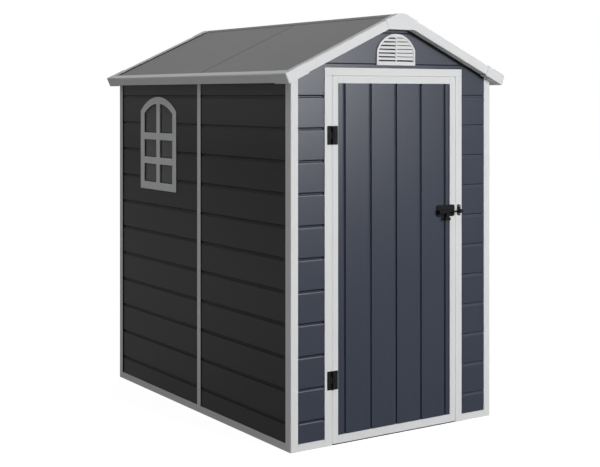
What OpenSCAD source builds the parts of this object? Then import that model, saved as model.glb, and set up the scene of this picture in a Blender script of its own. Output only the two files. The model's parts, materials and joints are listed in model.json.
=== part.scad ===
// Plastic garden shed with a pitched roof, a hinged door with a barrel bolt and one arched window.
// Millimetres. The origin is the middle of the footprint on the ground. The front faces -Y and +Z is up.

/* [Footprint] */
// Width over the corner posts
shed_w = 1270; // [1150:5:1600]
// Depth over the corner posts
shed_d = 1915; // [1700:5:2600]

/* [Posts and base rails] */
// Width of a corner post seen from the front
post_w = 42; // [34:1:60]
// Depth of a front corner post, of the door jambs and of the front rails
post_d = 48; // [44:1:60]
// Depth of a back corner post and of the back rail
back_post_d = 42; // [36:1:60]
// Rounding of the outer edge of a post
post_round = 6; // [2:0.5:10]
// Height of the rails that the walls stand on
rail_h = 36; // [32:1:50]
// Thickness of the floor panel
floor_t = 30; // [20:1:31]

/* [Cladding] */
// Thickness of the hollow wall panels
wall_t = 20; // [16:1:26]
// How far the cladding lies behind the faces of the posts
wall_set = 4; // [2:0.5:8]
// Height from one groove to the next
board_h = 157.3; // [120:0.1:200]
// Height of the lowest groove over the ground
groove_z = 133; // [100:1:180]
// Height of a groove
groove_h = 20; // [12:1:28]
// Depth of a groove
groove_deep = 7; // [3:0.5:9]
// Width of the strip that joins two wall panels
strip_w = 38; // [24:1:60]
// How far a joining strip stands out from the cladding
strip_proud = 3; // [1:0.5:5]
// Distance from the front of the posts to the middle of the side joining strips
strip_y = 916; // [860:1:960]

/* [Doorway] */
// Width of the doorway between the jambs
doorway_w = 789; // [700:1:840]
// Height of the doorway under its head
doorway_h = 1811; // [1600:1:2050]
// Width of a door jamb
jamb_w = 43; // [36:1:60]
// Height of the door head
head_h = 39; // [30:1:45]
// How far the stops of the doorway reach behind the leaf
stop_w = 15; // [10:1:25]

/* [Door leaf] */
// Thickness of the leaf
leaf_t = 32; // [26:1:34]
// Gap at the hinge edge, over the leaf and behind it
leaf_gap = 5; // [5:0.5:8]
// Gap at the latch edge, where the back corner of the leaf swings out
latch_gap = 6; // [6:0.5:9]
// Height of the lower edge of the leaf over the ground
leaf_z = 6; // [5:1:15]
// Width of the light stiles of the leaf
stile_w = 32; // [26:1:50]
// Height of the top rail of the leaf
top_rail_h = 33; // [26:1:60]
// Height of the bottom rail of the leaf
bottom_rail_h = 40; // [30:1:80]
// How far the door panel lies behind the stiles
panel_set = 3; // [1:0.5:6]
// Thickness of the door panel
panel_t = 22; // [16:1:23]
// Distance between the upright grooves of the door panel
door_groove_pitch = 160; // [120:1:165]
// Width of an upright groove
door_groove_w = 18; // [8:0.5:22]
// Depth of an upright groove
door_groove_deep = 4; // [2:0.5:8]

/* [Hinges] */
// Height of a hinge
hinge_h = 92; // [60:1:120]
// Distance from the foot of the leaf to the middle of the lower hinge
low_hinge_in = 313; // [150:1:500]
// Distance from the top of the leaf to the middle of the upper hinge
top_hinge_in = 288; // [150:1:500]
// Reach of a hinge plate from the pin
hinge_reach = 31; // [24:1:36]
// Thickness of the hinge plates and of the latch plates
plate_t = 3; // [2:0.5:3.5]
// Radius of the knuckles
knuckle_r = 5; // [4.5:0.1:5]
// Radius of the pin
pin_r = 3; // [2:0.1:3.2]
// Running clearance of the pin and of the bolt rod, on the radius
run_gap = 0.06; // [0.03:0.01:0.09]
// Gap between two knuckles
knuckle_gap = 0.6; // [0.4:0.1:1]

/* [Door bolt] */
// Height of the bolt rod
bolt_z = 1107; // [900:1:1250]
// Radius of the bolt rod
rod_r = 5; // [4:0.1:5.5]
// Distance from the face of the leaf to the middle of the rod
rod_out = 13; // [12.5:0.5:14]
// Travel of the bolt
bolt_travel = 25; // [20:1:28]
// Width of the bolt plate
bolt_plate_w = 118; // [110:1:130]
// Height of the bolt plate
bolt_plate_h = 61; // [50:1:80]
// Outer radius of the barrel that guides the rod
barrel_r = 12; // [11:0.5:12.4]
// Width of the thumb grip of the bolt
grip_w = 36; // [30:1:60]
// Radius of the thumb grip
grip_r = 10; // [7:0.5:12]
// Distance from the rod down to the middle of the thumb grip
grip_drop = 36.5; // [32:0.5:60]
// Width of the keeper plate on the jamb
keeper_w = 23; // [18:1:26]
// Height of the keeper plate
keeper_h = 59; // [50:1:80]

/* [Window] */
// Width over the window frame
window_w = 447; // [360:1:560]
// Distance from the top of the window frame up to the lower edge of the eaves
window_drop = 68; // [50:1:300]
// Height of the window frame up to where its arch starts
window_side_h = 452; // [380:1:700]
// Rise of the arch over that height
window_rise = 83; // [50:1:95]
// Width of the sides of the window frame
window_stile = 46; // [36:1:60]
// Height of the lower bar of the window frame
window_sill = 43; // [34:1:60]
// Height of the arched bar of the window frame
window_arch = 39; // [30:1:50]
// Distance from the front of the posts to the middle of the window
window_y = 1403; // [1290:1:1480]
// Distance from the front face of the frame to the glass
glass_set = 7; // [6:0.5:12]
// Thickness of the glass
glass_t = 3; // [2:0.5:4]

/* [Gable vent] */
// Width of the vent
vent_w = 245; // [180:1:300]
// Height of the lower edge of the vent over the door head
vent_gap = 15; // [8:1:25]
// Height of the straight sides of the vent
vent_side_h = 75; // [50:1:75]
// Rise of the arch of the vent
vent_rise = 85; // [60:1:88]
// Thickness of the vent plate
vent_t = 8; // [6:1:12]
// Width of the rim round the louvres
vent_rim = 12; // [8:1:16]
// Height of the plain band under the louvres
vent_band = 20; // [14:1:26]

/* [Roof] */
// Pitch of the roof, in degrees
roof_pitch = 24.5; // [22:0.5:28]
// How far the lower edge of the eaves lies under the top of the doorway
eave_drop = 38; // [20:1:50]
// Reach of the roof past the side walls
eave_out = 42; // [30:1:60]
// Reach of the roof past the front and back posts
rake_out = 50; // [40:1:80]
// Thickness of the roof panels
roof_t = 20; // [14:1:24]
// Depth of the edge trims, across the slope
trim_deep = 48; // [44:1:60]
// Thickness of the edge trims at their outer face
trim_t = 8; // [5:1:9]
// Width of the flange that the edge trims lay on the roof
flange_w = 40; // [30:1:48]
// How far that flange stands over the roof panels
flange_t = 10; // [6:1:12]
// Thickness of the soffit under the overhang of the roof
soffit_t = 4; // [3:0.5:6]
// Rounding of the outer edge of the trims
trim_round = 7; // [4:0.5:8]
// Distance from the front of the posts to the seam between the roof panels
seam_y = 900; // [800:5:1000]
// Gap at the seam between the roof panels
seam_gap = 3; // [1:0.5:5]
// Length of a corner cap along each edge of the roof
cap_len = 125; // [90:5:160]
// How far the caps stand out from the edge trims
cap_proud = 1.5; // [1:0.5:3]
// How far the corner caps hang under the trims
cap_drop = 5; // [2:0.5:8]
// Length of an apex cap along each slope
apex_len = 88; // [70:1:110]
// Rounding of the top of an apex cap
apex_round = 60; // [30:1:80]
// Width of the ridge beam under the roof panels
beam_w = 50; // [36:1:70]
// Height of the ridge beam
beam_h = 60; // [45:1:80]
// Thickness of the ridge strip over the roof panels
ridge_t = 5; // [3:0.5:8]
// Reach of the ridge strip down each slope
ridge_reach = 36; // [24:1:60]

/* [Hidden] */
$fn = 48;

cladding_colour = "#62656f";
frame_colour = "#d6d7d8";
roof_colour = "#76767a";
metal_colour = "#262729";

// Faces of the frame
front_y = -shed_d / 2;
back_y = shed_d / 2;
side_x = shed_w / 2;
inner_x = side_x - post_w;
inner_front_y = front_y + post_d;
inner_back_y = back_y - back_post_d;

// Doorway and leaf
jamb_in = doorway_w / 2;
jamb_out = jamb_in + jamb_w;
head_top = doorway_h + head_h;
leaf_left = -jamb_in + leaf_gap;
leaf_right = jamb_in - latch_gap;
leaf_top = doorway_h - leaf_gap;
stop_y = front_y + leaf_t + leaf_gap;
panel_left = leaf_left + stile_w;
panel_right = leaf_right - stile_w;
panel_low = leaf_z + bottom_rail_h;
panel_top = leaf_top - top_rail_h;

// Hinges
low_hinge_z = leaf_z + low_hinge_in;
top_hinge_z = leaf_top - top_hinge_in;
pin_x = -jamb_in + leaf_gap / 2;
pin_y = front_y - knuckle_r - 0.5;
knuckle_h = (hinge_h - 2 * knuckle_gap) / 3;

// Door bolt
rod_y = front_y - rod_out;
bolt_plate_right = leaf_right - 2;
bolt_plate_left = bolt_plate_right - bolt_plate_w;
latch_lift = 5;
bolt_plate_low = bolt_z - bolt_plate_h / 2 + latch_lift;
keeper_x = jamb_in + 10.5;
tip_gap = 3;
rod_tip = keeper_x - tip_gap;
rod_tail = bolt_plate_left + 8;
bolt_plate_corner = 12;
barrel_short = 17;
barrel_right = bolt_plate_right - barrel_short;
end_ring = 11;
stem_w = 11;
end_room = 5;
slot_right = barrel_right - end_ring;
slot_left = slot_right - stem_w - bolt_travel - 2 * end_room;
stem_x = slot_left + end_room;
grip_out = rod_out + 4;
grip_z = bolt_z - grip_drop;
keeper_room = 1.5;
keeper_wall = 3;
keeper_end_gap = 1;
keeper_corner = 11;

// Cladding
groove_lip = 2;
groove_land = 2.5;
groove_slope = 5;

// Side joining strip and window
eave_z = doorway_h - eave_drop;
side_strip_mid = front_y + strip_y;
window_mid = front_y + window_y;
window_top = eave_z - window_drop;
window_z = window_top - window_rise - window_side_h;

// Roof, with u running down a slope and v standing square to it
roof_half = side_x + eave_out;
slope_len = roof_half / cos(roof_pitch);
ridge_z = eave_z + roof_half * tan(roof_pitch);
panel_v = trim_deep - flange_t - roof_t;
roof_front = front_y - rake_out;
rake_soffit = rake_out - 3;
eave_soffit = slope_len - (side_x + 6) / cos(roof_pitch);
roof_back = back_y + rake_out;
beam_low = ridge_z + panel_v / cos(roof_pitch) - beam_h;
seam_at = front_y + seam_y;
far = 3000;

// Height of the underside of the roof panels over a place across the shed
function under_roof(x) = ridge_z + panel_v / cos(roof_pitch) - abs(x) * tan(roof_pitch);

// Points along an arc
function arc(cx, cy, r, from, to, n = 8) =
  [for (i = [0:n]) [cx + r * cos(from + (to - from) * i / n), cy + r * sin(from + (to - from) * i / n)]];

// Radius of a round arch with a given half width and rise
function arch_r(half, rise) = (half * half + rise * rise) / (2 * rise);

// Space under the roof panels
module below_roof() {
  translate([0, far / 2, 0])
    rotate([90, 0, 0])
      linear_extrude(far)
        polygon([[-side_x, -1], [side_x, -1], [side_x, under_roof(side_x)],
                 [0, under_roof(0)], [-side_x, under_roof(side_x)]]);
}

// Children are placed on the right slope (s = 1) or the left one (s = -1)
module on_slope(s) {
  mirror([s < 0 ? 1 : 0, 0, 0])
    translate([0, 0, ridge_z])
      rotate([0, roof_pitch, 0])
        children();
}

// Half of space on the right of the middle of the shed (s = 1) or on the left (s = -1)
module half_space(s) {
  translate([s > 0 ? 0 : -far, -far / 2, -1])
    cube([far, far, far]);
}

// Cladding panel with its outer face at Y = 0, from X = 0 to its length
module cladding(length, low, high) {
  margin = groove_h / 2 + groove_land;
  first = ceil((low + margin - groove_z) / board_h);
  last = floor((high - margin - groove_z) / board_h);
  grooves = [for (k = [first:last]) let (z = groove_z + k * board_h)
    each [[0, z - groove_h / 2], [groove_deep, z - groove_h / 2 + groove_slope],
          [groove_deep, z + groove_h / 2 - groove_lip], [0, z + groove_h / 2]]];
  rotate([90, 0, 90])
    linear_extrude(length)
      polygon(concat([[wall_t, low], [0, low]], grooves, [[0, high], [wall_t, high]]));
}

// Side wall panel on the left, between two distances along Y
module left_wall(from_y, to_y) {
  intersection() {
    translate([-side_x + wall_set, to_y, 0])
      rotate([0, 0, -90])
        cladding(to_y - from_y, rail_h, under_roof(inner_x));
    below_roof();
  }
}

// Front wall panel beside the doorway on the left, up to the top of the door head
module front_wall() {
  intersection() {
    translate([-inner_x, front_y + wall_set, 0])
      cladding(inner_x - jamb_out, rail_h, head_top);
    below_roof();
  }
}

// Back wall panel on the left half, seen from the front
module back_wall() {
  intersection() {
    translate([-strip_w / 2, back_y - wall_set, 0])
      rotate([0, 0, 180])
        cladding(inner_x - strip_w / 2, rail_h, under_roof(0));
    below_roof();
  }
}

// Corner post with a rounded outer edge, its outer corner at the left front
module post(depth) {
  linear_extrude(far)
    union() {
      translate([post_round, post_round])
        circle(post_round);
      translate([post_round, 0])
        square([post_w - post_round, depth]);
      translate([0, post_round])
        square([post_w, depth - post_round]);
    }
}

// Left post at the front or, mirrored along Y, at the back
module left_post(depth) {
  intersection() {
    translate([-side_x, front_y, 0])
      post(depth);
    below_roof();
  }
}

// Arched outline standing on Y = 0, centred on X = 0
module arch_outline(width, side_h, rise) {
  r = arch_r(width / 2, rise);
  intersection() {
    translate([-width / 2, 0])
      square([width, side_h + rise]);
    union() {
      translate([0, side_h + rise - r])
        circle(r, $fn = 96);
      translate([-width / 2, 0])
        square([width, side_h]);
    }
  }
}

// Extrudes a flat outline drawn in Y and Z through the left wall, from its outer face at x
module through_left(x, depth) {
  translate([x, window_mid, 0])
    rotate([90, 0, 90])
      linear_extrude(depth)
        children();
}

// Outline of the window over the ground, drawn in by an amount at its sides, foot and arch
module window_outline(side_in, low_in, arch_in) {
  r = arch_r(window_w / 2, window_rise);
  intersection() {
    translate([side_in - window_w / 2, window_z + low_in])
      square([window_w - 2 * side_in, window_side_h + window_rise]);
    union() {
      translate([0, window_top - r])
        circle(r - arch_in, $fn = 96);
      translate([side_in - window_w / 2, window_z])
        square([window_w - 2 * side_in, window_side_h - arch_in]);
    }
  }
}

// Roof panel on the right slope between two places along Y
module roof_panel(from_y, to_y) {
  intersection() {
    translate([0, 0, ridge_z])
      rotate([0, roof_pitch, 0])
        translate([-trim_deep, from_y, panel_v])
          cube([slope_len - trim_t + trim_deep, to_y - from_y, roof_t]);
    half_space(1);
  }
}

// Section of an edge trim, with its outer face at X = 0, its foot at Y = 0 and a soffit of some depth
module trim_section(soffit) {
  intersection() {
    union() {
      square([trim_t, trim_deep]);
      square([soffit, soffit_t]);
      translate([0, trim_deep - flange_t])
        square([flange_w, flange_t]);
    }
    union() {
      translate([trim_round, trim_deep - trim_round])
        circle(trim_round);
      translate([trim_round, 0])
        square([flange_w + soffit, trim_deep]);
      square([flange_w + soffit, trim_deep - trim_round]);
    }
  }
}

// Trim along the front end of the right slope, between two distances down the slope
module rake_trim(from_u, to_u) {
  on_slope(1)
    translate([from_u, roof_front, 0])
      rotate([90, 0, 90])
        linear_extrude(to_u - from_u)
          trim_section(rake_soffit);
}

// Trim along the right eaves, between the corner caps
module eave_trim() {
  on_slope(1)
    translate([slope_len, roof_back - cap_len, 0])
      rotate([90, 0, 0])
        linear_extrude(shed_d + 2 * rake_out - 2 * cap_len)
          mirror([1, 0])
            trim_section(eave_soffit);
}

// Plan of a corner cap, with arms of some width along the rake and along the eaves
module corner_plan(rake_arm, eave_arm) {
  out = cap_proud;
  round_r = trim_round;
  intersection() {
    union() {
      translate([slope_len - cap_len, roof_front - out])
        square([cap_len + out, rake_arm + out]);
      translate([slope_len - eave_arm, roof_front - out])
        square([eave_arm + out, cap_len + out]);
    }
    union() {
      translate([slope_len + out - round_r, roof_front - out + round_r])
        circle(round_r);
      translate([slope_len - cap_len, roof_front - out])
        square([cap_len + out - round_r, cap_len + out]);
      translate([slope_len - cap_len, roof_front - out + round_r])
        square([cap_len + out, cap_len + out]);
    }
  }
}

// Corner cap at the front of the right slope
module corner_cap() {
  on_slope(1) {
    difference() {
      translate([0, 0, -cap_drop])
        linear_extrude(trim_deep + cap_drop + cap_proud)
          corner_plan(flange_w, flange_w);
      translate([slope_len - 2 * cap_len, roof_front + trim_t, -2 * cap_drop])
        cube([2 * cap_len - trim_t, 2 * cap_len, 2 * cap_drop + trim_deep - flange_t]);
    }
    translate([0, 0, -cap_drop])
      linear_extrude(soffit_t)
        corner_plan(rake_soffit, eave_soffit);
  }
}

// Outline of an apex cap in X and Z, over the meeting line of the slopes
module apex_outline(top_v, low_v, length) {
  c = cos(roof_pitch);
  s = sin(roof_pitch);
  end_top = [length * c + top_v * s, ridge_z - length * s + top_v * c];
  end_low = [length * c + low_v * s, ridge_z - length * s + low_v * c];
  round_z = ridge_z + (top_v - apex_round) / c;
  crown = arc(0, round_z, apex_round, 90 - roof_pitch, 90 + roof_pitch);
  polygon(concat([[-end_low[0], end_low[1]], end_low, end_top], crown, [[-end_top[0], end_top[1]]]));
}

// Apex cap at the front
module apex_cap() {
  top_v = trim_deep + cap_proud;
  half = apex_len * cos(roof_pitch);
  translate([-half, roof_front - cap_proud, ridge_z - apex_len * sin(roof_pitch)])
    cube([2 * half, rake_soffit + cap_proud, soffit_t]);
  difference() {
    translate([0, roof_front + flange_w, 0])
      rotate([90, 0, 0])
        linear_extrude(flange_w + cap_proud)
          apex_outline(top_v, 0, apex_len);
    for (s = [-1, 1])
      on_slope(s)
        translate([-far / 2, roof_front + trim_t, -far / 2 + trim_deep - flange_t])
          cube([far, flange_w, far / 2]);
    translate([-ridge_reach, roof_front + trim_t, 0])
      cube([2 * ridge_reach, flange_w, ridge_z + (trim_deep - flange_t + ridge_t + 1) / cos(roof_pitch)]);
  }
}

// Plate with rounded corners standing on the face of the leaf or the jamb
module face_plate(x, z, width, height, thick, corner) {
  translate([x, front_y, z])
    rotate([90, 0, 0])
      linear_extrude(thick)
        union() {
          for (i = [0, 1], j = [0, 1])
            translate([corner + i * (width - 2 * corner), corner + j * (height - 2 * corner)])
              circle(corner);
          translate([corner, 0])
            square([width - 2 * corner, height]);
          translate([0, corner])
            square([width, height - 2 * corner]);
        }
}

// Rod along X at the height of the bolt
module bolt_bar(from_x, to_x, radius) {
  translate([from_x, rod_y, bolt_z])
    rotate([0, 90, 0])
      cylinder(h = to_x - from_x, r = radius);
}

module floor_panel() {
  color("#55585c")
    union() {
      translate([-inner_x, inner_front_y, 0])
        cube([2 * inner_x, inner_back_y - inner_front_y, floor_t]);
      translate([-jamb_in, stop_y, 0])
        cube([doorway_w, inner_front_y - stop_y + 1, floor_t]);
    }
}

module base_rails() {
  color(frame_colour)
    union() {
      for (x = [-side_x, inner_x])
        translate([x, inner_front_y, 0])
          cube([post_w, inner_back_y - inner_front_y, rail_h]);
      translate([-inner_x, inner_back_y, 0])
        cube([2 * inner_x, back_post_d, rail_h]);
      for (x = [-inner_x, jamb_out])
        translate([x, front_y, 0])
          cube([inner_x - jamb_out, post_d, rail_h]);
    }
}

module post_front_left() {
  color(frame_colour)
    left_post(post_d);
}

module post_front_right() {
  color(frame_colour)
    mirror([1, 0, 0])
      left_post(post_d);
}

module post_back_left() {
  color(frame_colour)
    mirror([0, 1, 0])
      left_post(back_post_d);
}

module post_back_right() {
  color(frame_colour)
    mirror([1, 0, 0])
      mirror([0, 1, 0])
        left_post(back_post_d);
}

module wall_left_front() {
  color(cladding_colour)
    left_wall(inner_front_y, side_strip_mid - strip_w / 2);
}

module wall_left_back() {
  color(cladding_colour)
    difference() {
      left_wall(side_strip_mid + strip_w / 2, inner_back_y);
      through_left(-side_x - 10, wall_t + 20)
        window_outline(0, 0, 0);
    }
}

module wall_right_front() {
  color(cladding_colour)
    mirror([1, 0, 0])
      left_wall(inner_front_y, side_strip_mid - strip_w / 2);
}

module wall_right_back() {
  color(cladding_colour)
    mirror([1, 0, 0])
      left_wall(side_strip_mid + strip_w / 2, inner_back_y);
}

module wall_back_left() {
  color(cladding_colour)
    back_wall();
}

module wall_back_right() {
  color(cladding_colour)
    mirror([1, 0, 0])
      back_wall();
}

module wall_front_left() {
  color(cladding_colour)
    front_wall();
}

module wall_front_right() {
  color(cladding_colour)
    mirror([1, 0, 0])
      front_wall();
}

module gable_front() {
  color(cladding_colour)
    intersection() {
      translate([-inner_x, front_y + wall_set, 0])
        cladding(2 * inner_x, head_top, under_roof(0));
      below_roof();
    }
}

module joint_strips() {
  color(frame_colour)
    intersection() {
      union() {
        for (x = [-side_x + wall_set - strip_proud, side_x - wall_set - wall_t])
          translate([x, side_strip_mid - strip_w / 2, rail_h])
            cube([wall_t + strip_proud, strip_w, far]);
        translate([-strip_w / 2, back_y - wall_set - wall_t, rail_h])
          cube([strip_w, wall_t + strip_proud, far]);
      }
      below_roof();
    }
}

module door_jamb_left() {
  color(frame_colour)
    union() {
      translate([-jamb_out, front_y, 0])
        cube([jamb_w, post_d, doorway_h]);
      translate([-jamb_in - 1, stop_y, floor_t])
        cube([stop_w + 1, inner_front_y - stop_y, doorway_h - floor_t]);
    }
}

module door_jamb_right() {
  color(frame_colour)
    mirror([1, 0, 0])
      door_jamb_left();
}

module door_head() {
  color(frame_colour)
    union() {
      translate([-jamb_out, front_y, doorway_h])
        cube([2 * jamb_out, post_d, head_h]);
      translate([stop_w - jamb_in, stop_y, doorway_h - stop_w])
        cube([doorway_w - 2 * stop_w, inner_front_y - stop_y, stop_w + 1]);
    }
}

module window_frame() {
  color(frame_colour)
    through_left(-side_x + wall_set - strip_proud, wall_t + strip_proud + 4)
      difference() {
        window_outline(0, 0, 0);
        window_outline(window_stile, window_sill, window_arch);
      }
}

module window_glass() {
  color("#3c3c3c", 0.6)
    through_left(-side_x + wall_set - strip_proud + glass_set, glass_t)
      window_outline(window_stile, window_sill, window_arch);
}

module gable_vent() {
  slot_step = 19;
  slot_h = 8;
  color(frame_colour)
    translate([0, front_y + wall_set, head_top + vent_gap])
      rotate([90, 0, 0])
        difference() {
          linear_extrude(vent_t)
            arch_outline(vent_w, vent_side_h, vent_rise);
          translate([0, 0, vent_t - 4])
            linear_extrude(vent_t)
              intersection() {
                translate([0, vent_rim])
                  arch_outline(vent_w - 2 * vent_rim, vent_side_h - vent_rim, vent_rise - vent_rim);
                for (k = [0:6], s = [-1, 1])
                  translate([s * (vent_w / 4 + 2) - vent_w / 4 + 4, vent_band + k * slot_step + 2])
                    square([vent_w / 2 - 8, slot_h]);
              }
        }
}

module roof_left_front() {
  color(roof_colour)
    mirror([1, 0, 0])
      roof_panel(roof_front + trim_t, seam_at - seam_gap / 2);
}

module roof_left_back() {
  color(roof_colour)
    mirror([1, 0, 0])
      roof_panel(seam_at + seam_gap / 2, roof_back - trim_t);
}

module roof_right_front() {
  color(roof_colour)
    roof_panel(roof_front + trim_t, seam_at - seam_gap / 2);
}

module roof_right_back() {
  color(roof_colour)
    roof_panel(seam_at + seam_gap / 2, roof_back - trim_t);
}

module ridge_beam() {
  half = beam_w / 2;
  front_end = front_y + wall_set + wall_t;
  back_end = back_y - wall_set - wall_t;
  color("#8a8c8e")
    translate([0, back_end, 0])
      rotate([90, 0, 0])
        linear_extrude(back_end - front_end)
          polygon([[-half, beam_low], [half, beam_low], [half, under_roof(half)],
                   [0, under_roof(0)], [-half, under_roof(half)]]);
}

module ridge_strip() {
  v = trim_deep - flange_t;
  c = cos(roof_pitch);
  s = sin(roof_pitch);
  low = [ridge_reach * c + v * s, ridge_z - ridge_reach * s + v * c];
  high = [low[0] + ridge_t * s, low[1] + ridge_t * c];
  color(roof_colour)
    translate([0, roof_back - flange_w - cap_proud, 0])
      rotate([90, 0, 0])
        linear_extrude(shed_d + 2 * (rake_out - flange_w - cap_proud))
          polygon([[0, ridge_z + v / c], low, high, [0, ridge_z + (v + ridge_t) / c],
                   [-high[0], high[1]], [-low[0], low[1]]]);
}

module eave_trim_left() {
  color(frame_colour)
    mirror([1, 0, 0])
      eave_trim();
}

module eave_trim_right() {
  color(frame_colour)
    eave_trim();
}

module rake_trims_front() {
  color(frame_colour)
    for (m = [0, 1])
      mirror([m, 0, 0])
        rake_trim(apex_len, slope_len - cap_len);
}

module rake_trims_back() {
  color(frame_colour)
    for (m = [0, 1])
      mirror([m, 0, 0])
        mirror([0, 1, 0])
          rake_trim(apex_len, slope_len - cap_len);
}

module corner_caps() {
  color(frame_colour)
    for (m = [0, 1], n = [0, 1])
      mirror([m, 0, 0])
        mirror([0, n, 0])
          corner_cap();
}

module apex_caps() {
  color(frame_colour)
    for (n = [0, 1])
      mirror([0, n, 0])
        apex_cap();
}

module door_stile_left() {
  color(frame_colour)
    translate([leaf_left, front_y, leaf_z])
      cube([stile_w, leaf_t, leaf_top - leaf_z]);
}

module door_stile_right() {
  color(frame_colour)
    translate([panel_right, front_y, leaf_z])
      cube([stile_w, leaf_t, leaf_top - leaf_z]);
}

module door_top_rail() {
  color(frame_colour)
    translate([panel_left, front_y, panel_top])
      cube([panel_right - panel_left, leaf_t, top_rail_h]);
}

module door_bottom_rail() {
  color(frame_colour)
    translate([panel_left, front_y, leaf_z])
      cube([panel_right - panel_left, leaf_t, bottom_rail_h]);
}

module door_panel() {
  color(cladding_colour)
    difference() {
      translate([panel_left, front_y + panel_set, panel_low])
        cube([panel_right - panel_left, panel_t, panel_top - panel_low]);
      for (k = [-2:2])
        translate([k * door_groove_pitch - door_groove_w / 2, front_y + panel_set - 1, 0])
          cube([door_groove_w, door_groove_deep + 1, far]);
    }
}

// Plate and knuckle tab of one hinge leaf, reaching to the right of the pin
module hinge_plate(mid_z) {
  clear = 2.5;
  translate([pin_x + knuckle_r + clear, front_y - plate_t, mid_z - hinge_h / 2])
    cube([hinge_reach - knuckle_r - clear, plate_t, hinge_h]);
}

// Knuckle from one height to another, with a tab to its plate on the right (s = 1) or the left
module knuckle(low, high, s) {
  translate([pin_x, pin_y, low])
    cylinder(h = high - low, r = knuckle_r);
  translate([s > 0 ? pin_x : pin_x - knuckle_r - 4, front_y - plate_t, low])
    cube([knuckle_r + 4, plate_t, high - low]);
}

module hinge_jamb_leaves() {
  color(metal_colour)
    for (mid_z = [low_hinge_z, top_hinge_z]) {
      low = mid_z - hinge_h / 2;
      union() {
        difference() {
          translate([2 * pin_x, 0, 0])
            mirror([1, 0, 0])
              hinge_plate(mid_z);
          translate([pin_x - knuckle_r - 2, pin_y - knuckle_r, mid_z - knuckle_h / 2 - knuckle_gap])
            cube([knuckle_r, 2 * knuckle_r, knuckle_h + 2 * knuckle_gap]);
        }
        knuckle(low, low + knuckle_h, -1);
        knuckle(low + 2 * (knuckle_h + knuckle_gap), low + hinge_h, -1);
        translate([pin_x, pin_y, low])
          cylinder(h = hinge_h, r = pin_r);
      }
    }
}

module hinge_door_leaves() {
  color(metal_colour)
    for (mid_z = [low_hinge_z, top_hinge_z])
      difference() {
        union() {
          hinge_plate(mid_z);
          knuckle(mid_z - knuckle_h / 2, mid_z + knuckle_h / 2, 1);
        }
        translate([pin_x, pin_y, mid_z - hinge_h])
          cylinder(h = 2 * hinge_h, r = pin_r + run_gap);
      }
}

module bolt_housing() {
  color(metal_colour)
    difference() {
      union() {
        face_plate(bolt_plate_left, bolt_plate_low, bolt_plate_w, bolt_plate_h, plate_t, bolt_plate_corner);
        translate([bolt_plate_left + 2, front_y - 1, bolt_plate_low + 2])
          cube([panel_right - bolt_plate_left - 2, panel_set + 1, bolt_plate_h - 4]);
        bolt_bar(bolt_plate_left, barrel_right, barrel_r);
      }
      bolt_bar(bolt_plate_left - 1, bolt_plate_right + 1, rod_r + run_gap);
      translate([slot_left, rod_y - 2 * barrel_r, bolt_z - 2 * barrel_r])
        cube([slot_right - slot_left, 2 * barrel_r + rod_out - plate_t, 2 * barrel_r + rod_r / 2]);
    }
}

module bolt_rod() {
  color(metal_colour)
    union() {
      bolt_bar(rod_tail, rod_tip, rod_r);
      translate([stem_x, front_y - grip_out - 3, grip_z])
        cube([stem_w, grip_out - rod_out + 6, bolt_z - grip_z]);
      translate([stem_x + stem_w / 2 - grip_w / 2, front_y - grip_out, grip_z])
        rotate([0, 90, 0])
          cylinder(h = grip_w, r = grip_r);
    }
}

module bolt_keeper() {
  side = rod_r + keeper_room;
  wall = keeper_wall;
  top = rod_out + rod_r + keeper_room;
  color(metal_colour)
    union() {
      face_plate(keeper_x, bolt_z - keeper_h / 2 + latch_lift, keeper_w, keeper_h, plate_t, keeper_corner);
      for (s = [-1, 1])
        translate([keeper_x, front_y - top - wall, bolt_z + s * (side + wall / 2) - wall / 2])
          cube([keeper_w, top + wall, wall]);
      translate([keeper_x, front_y - top - wall, bolt_z - side])
        cube([keeper_w, wall, 2 * side]);
      translate([keeper_x + keeper_w + keeper_end_gap, front_y - top, bolt_z - side - wall])
        cube([wall, top, 2 * (side + wall)]);
      for (s = [-1, 1])
        translate([keeper_x + keeper_w, front_y - top, bolt_z + s * (side + wall / 2) - wall / 2])
          cube([keeper_end_gap, top, wall]);
    }
}

floor_panel();
base_rails();
post_front_left();
post_front_right();
post_back_left();
post_back_right();
wall_left_front();
wall_left_back();
wall_right_front();
wall_right_back();
wall_back_left();
wall_back_right();
wall_front_left();
wall_front_right();
gable_front();
joint_strips();
door_jamb_left();
door_jamb_right();
door_head();
window_frame();
window_glass();
gable_vent();
roof_left_front();
roof_left_back();
roof_right_front();
roof_right_back();
ridge_beam();
ridge_strip();
eave_trim_left();
eave_trim_right();
rake_trims_front();
rake_trims_back();
corner_caps();
apex_caps();
door_stile_left();
door_stile_right();
door_top_rail();
door_bottom_rail();
door_panel();
hinge_jamb_leaves();
hinge_door_leaves();
bolt_housing();
bolt_rod();
bolt_keeper();
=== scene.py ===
# %% [markdown]
# # A plastic garden shed
# The shed is a kit of moulded panels and extruded rails with a pitched roof. The construction model
# gives every piece its place and size, and this file gives each one its finished form and surface.
# Nothing is moved: the new pieces are made where the construction model says.

import json
import math

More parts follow.
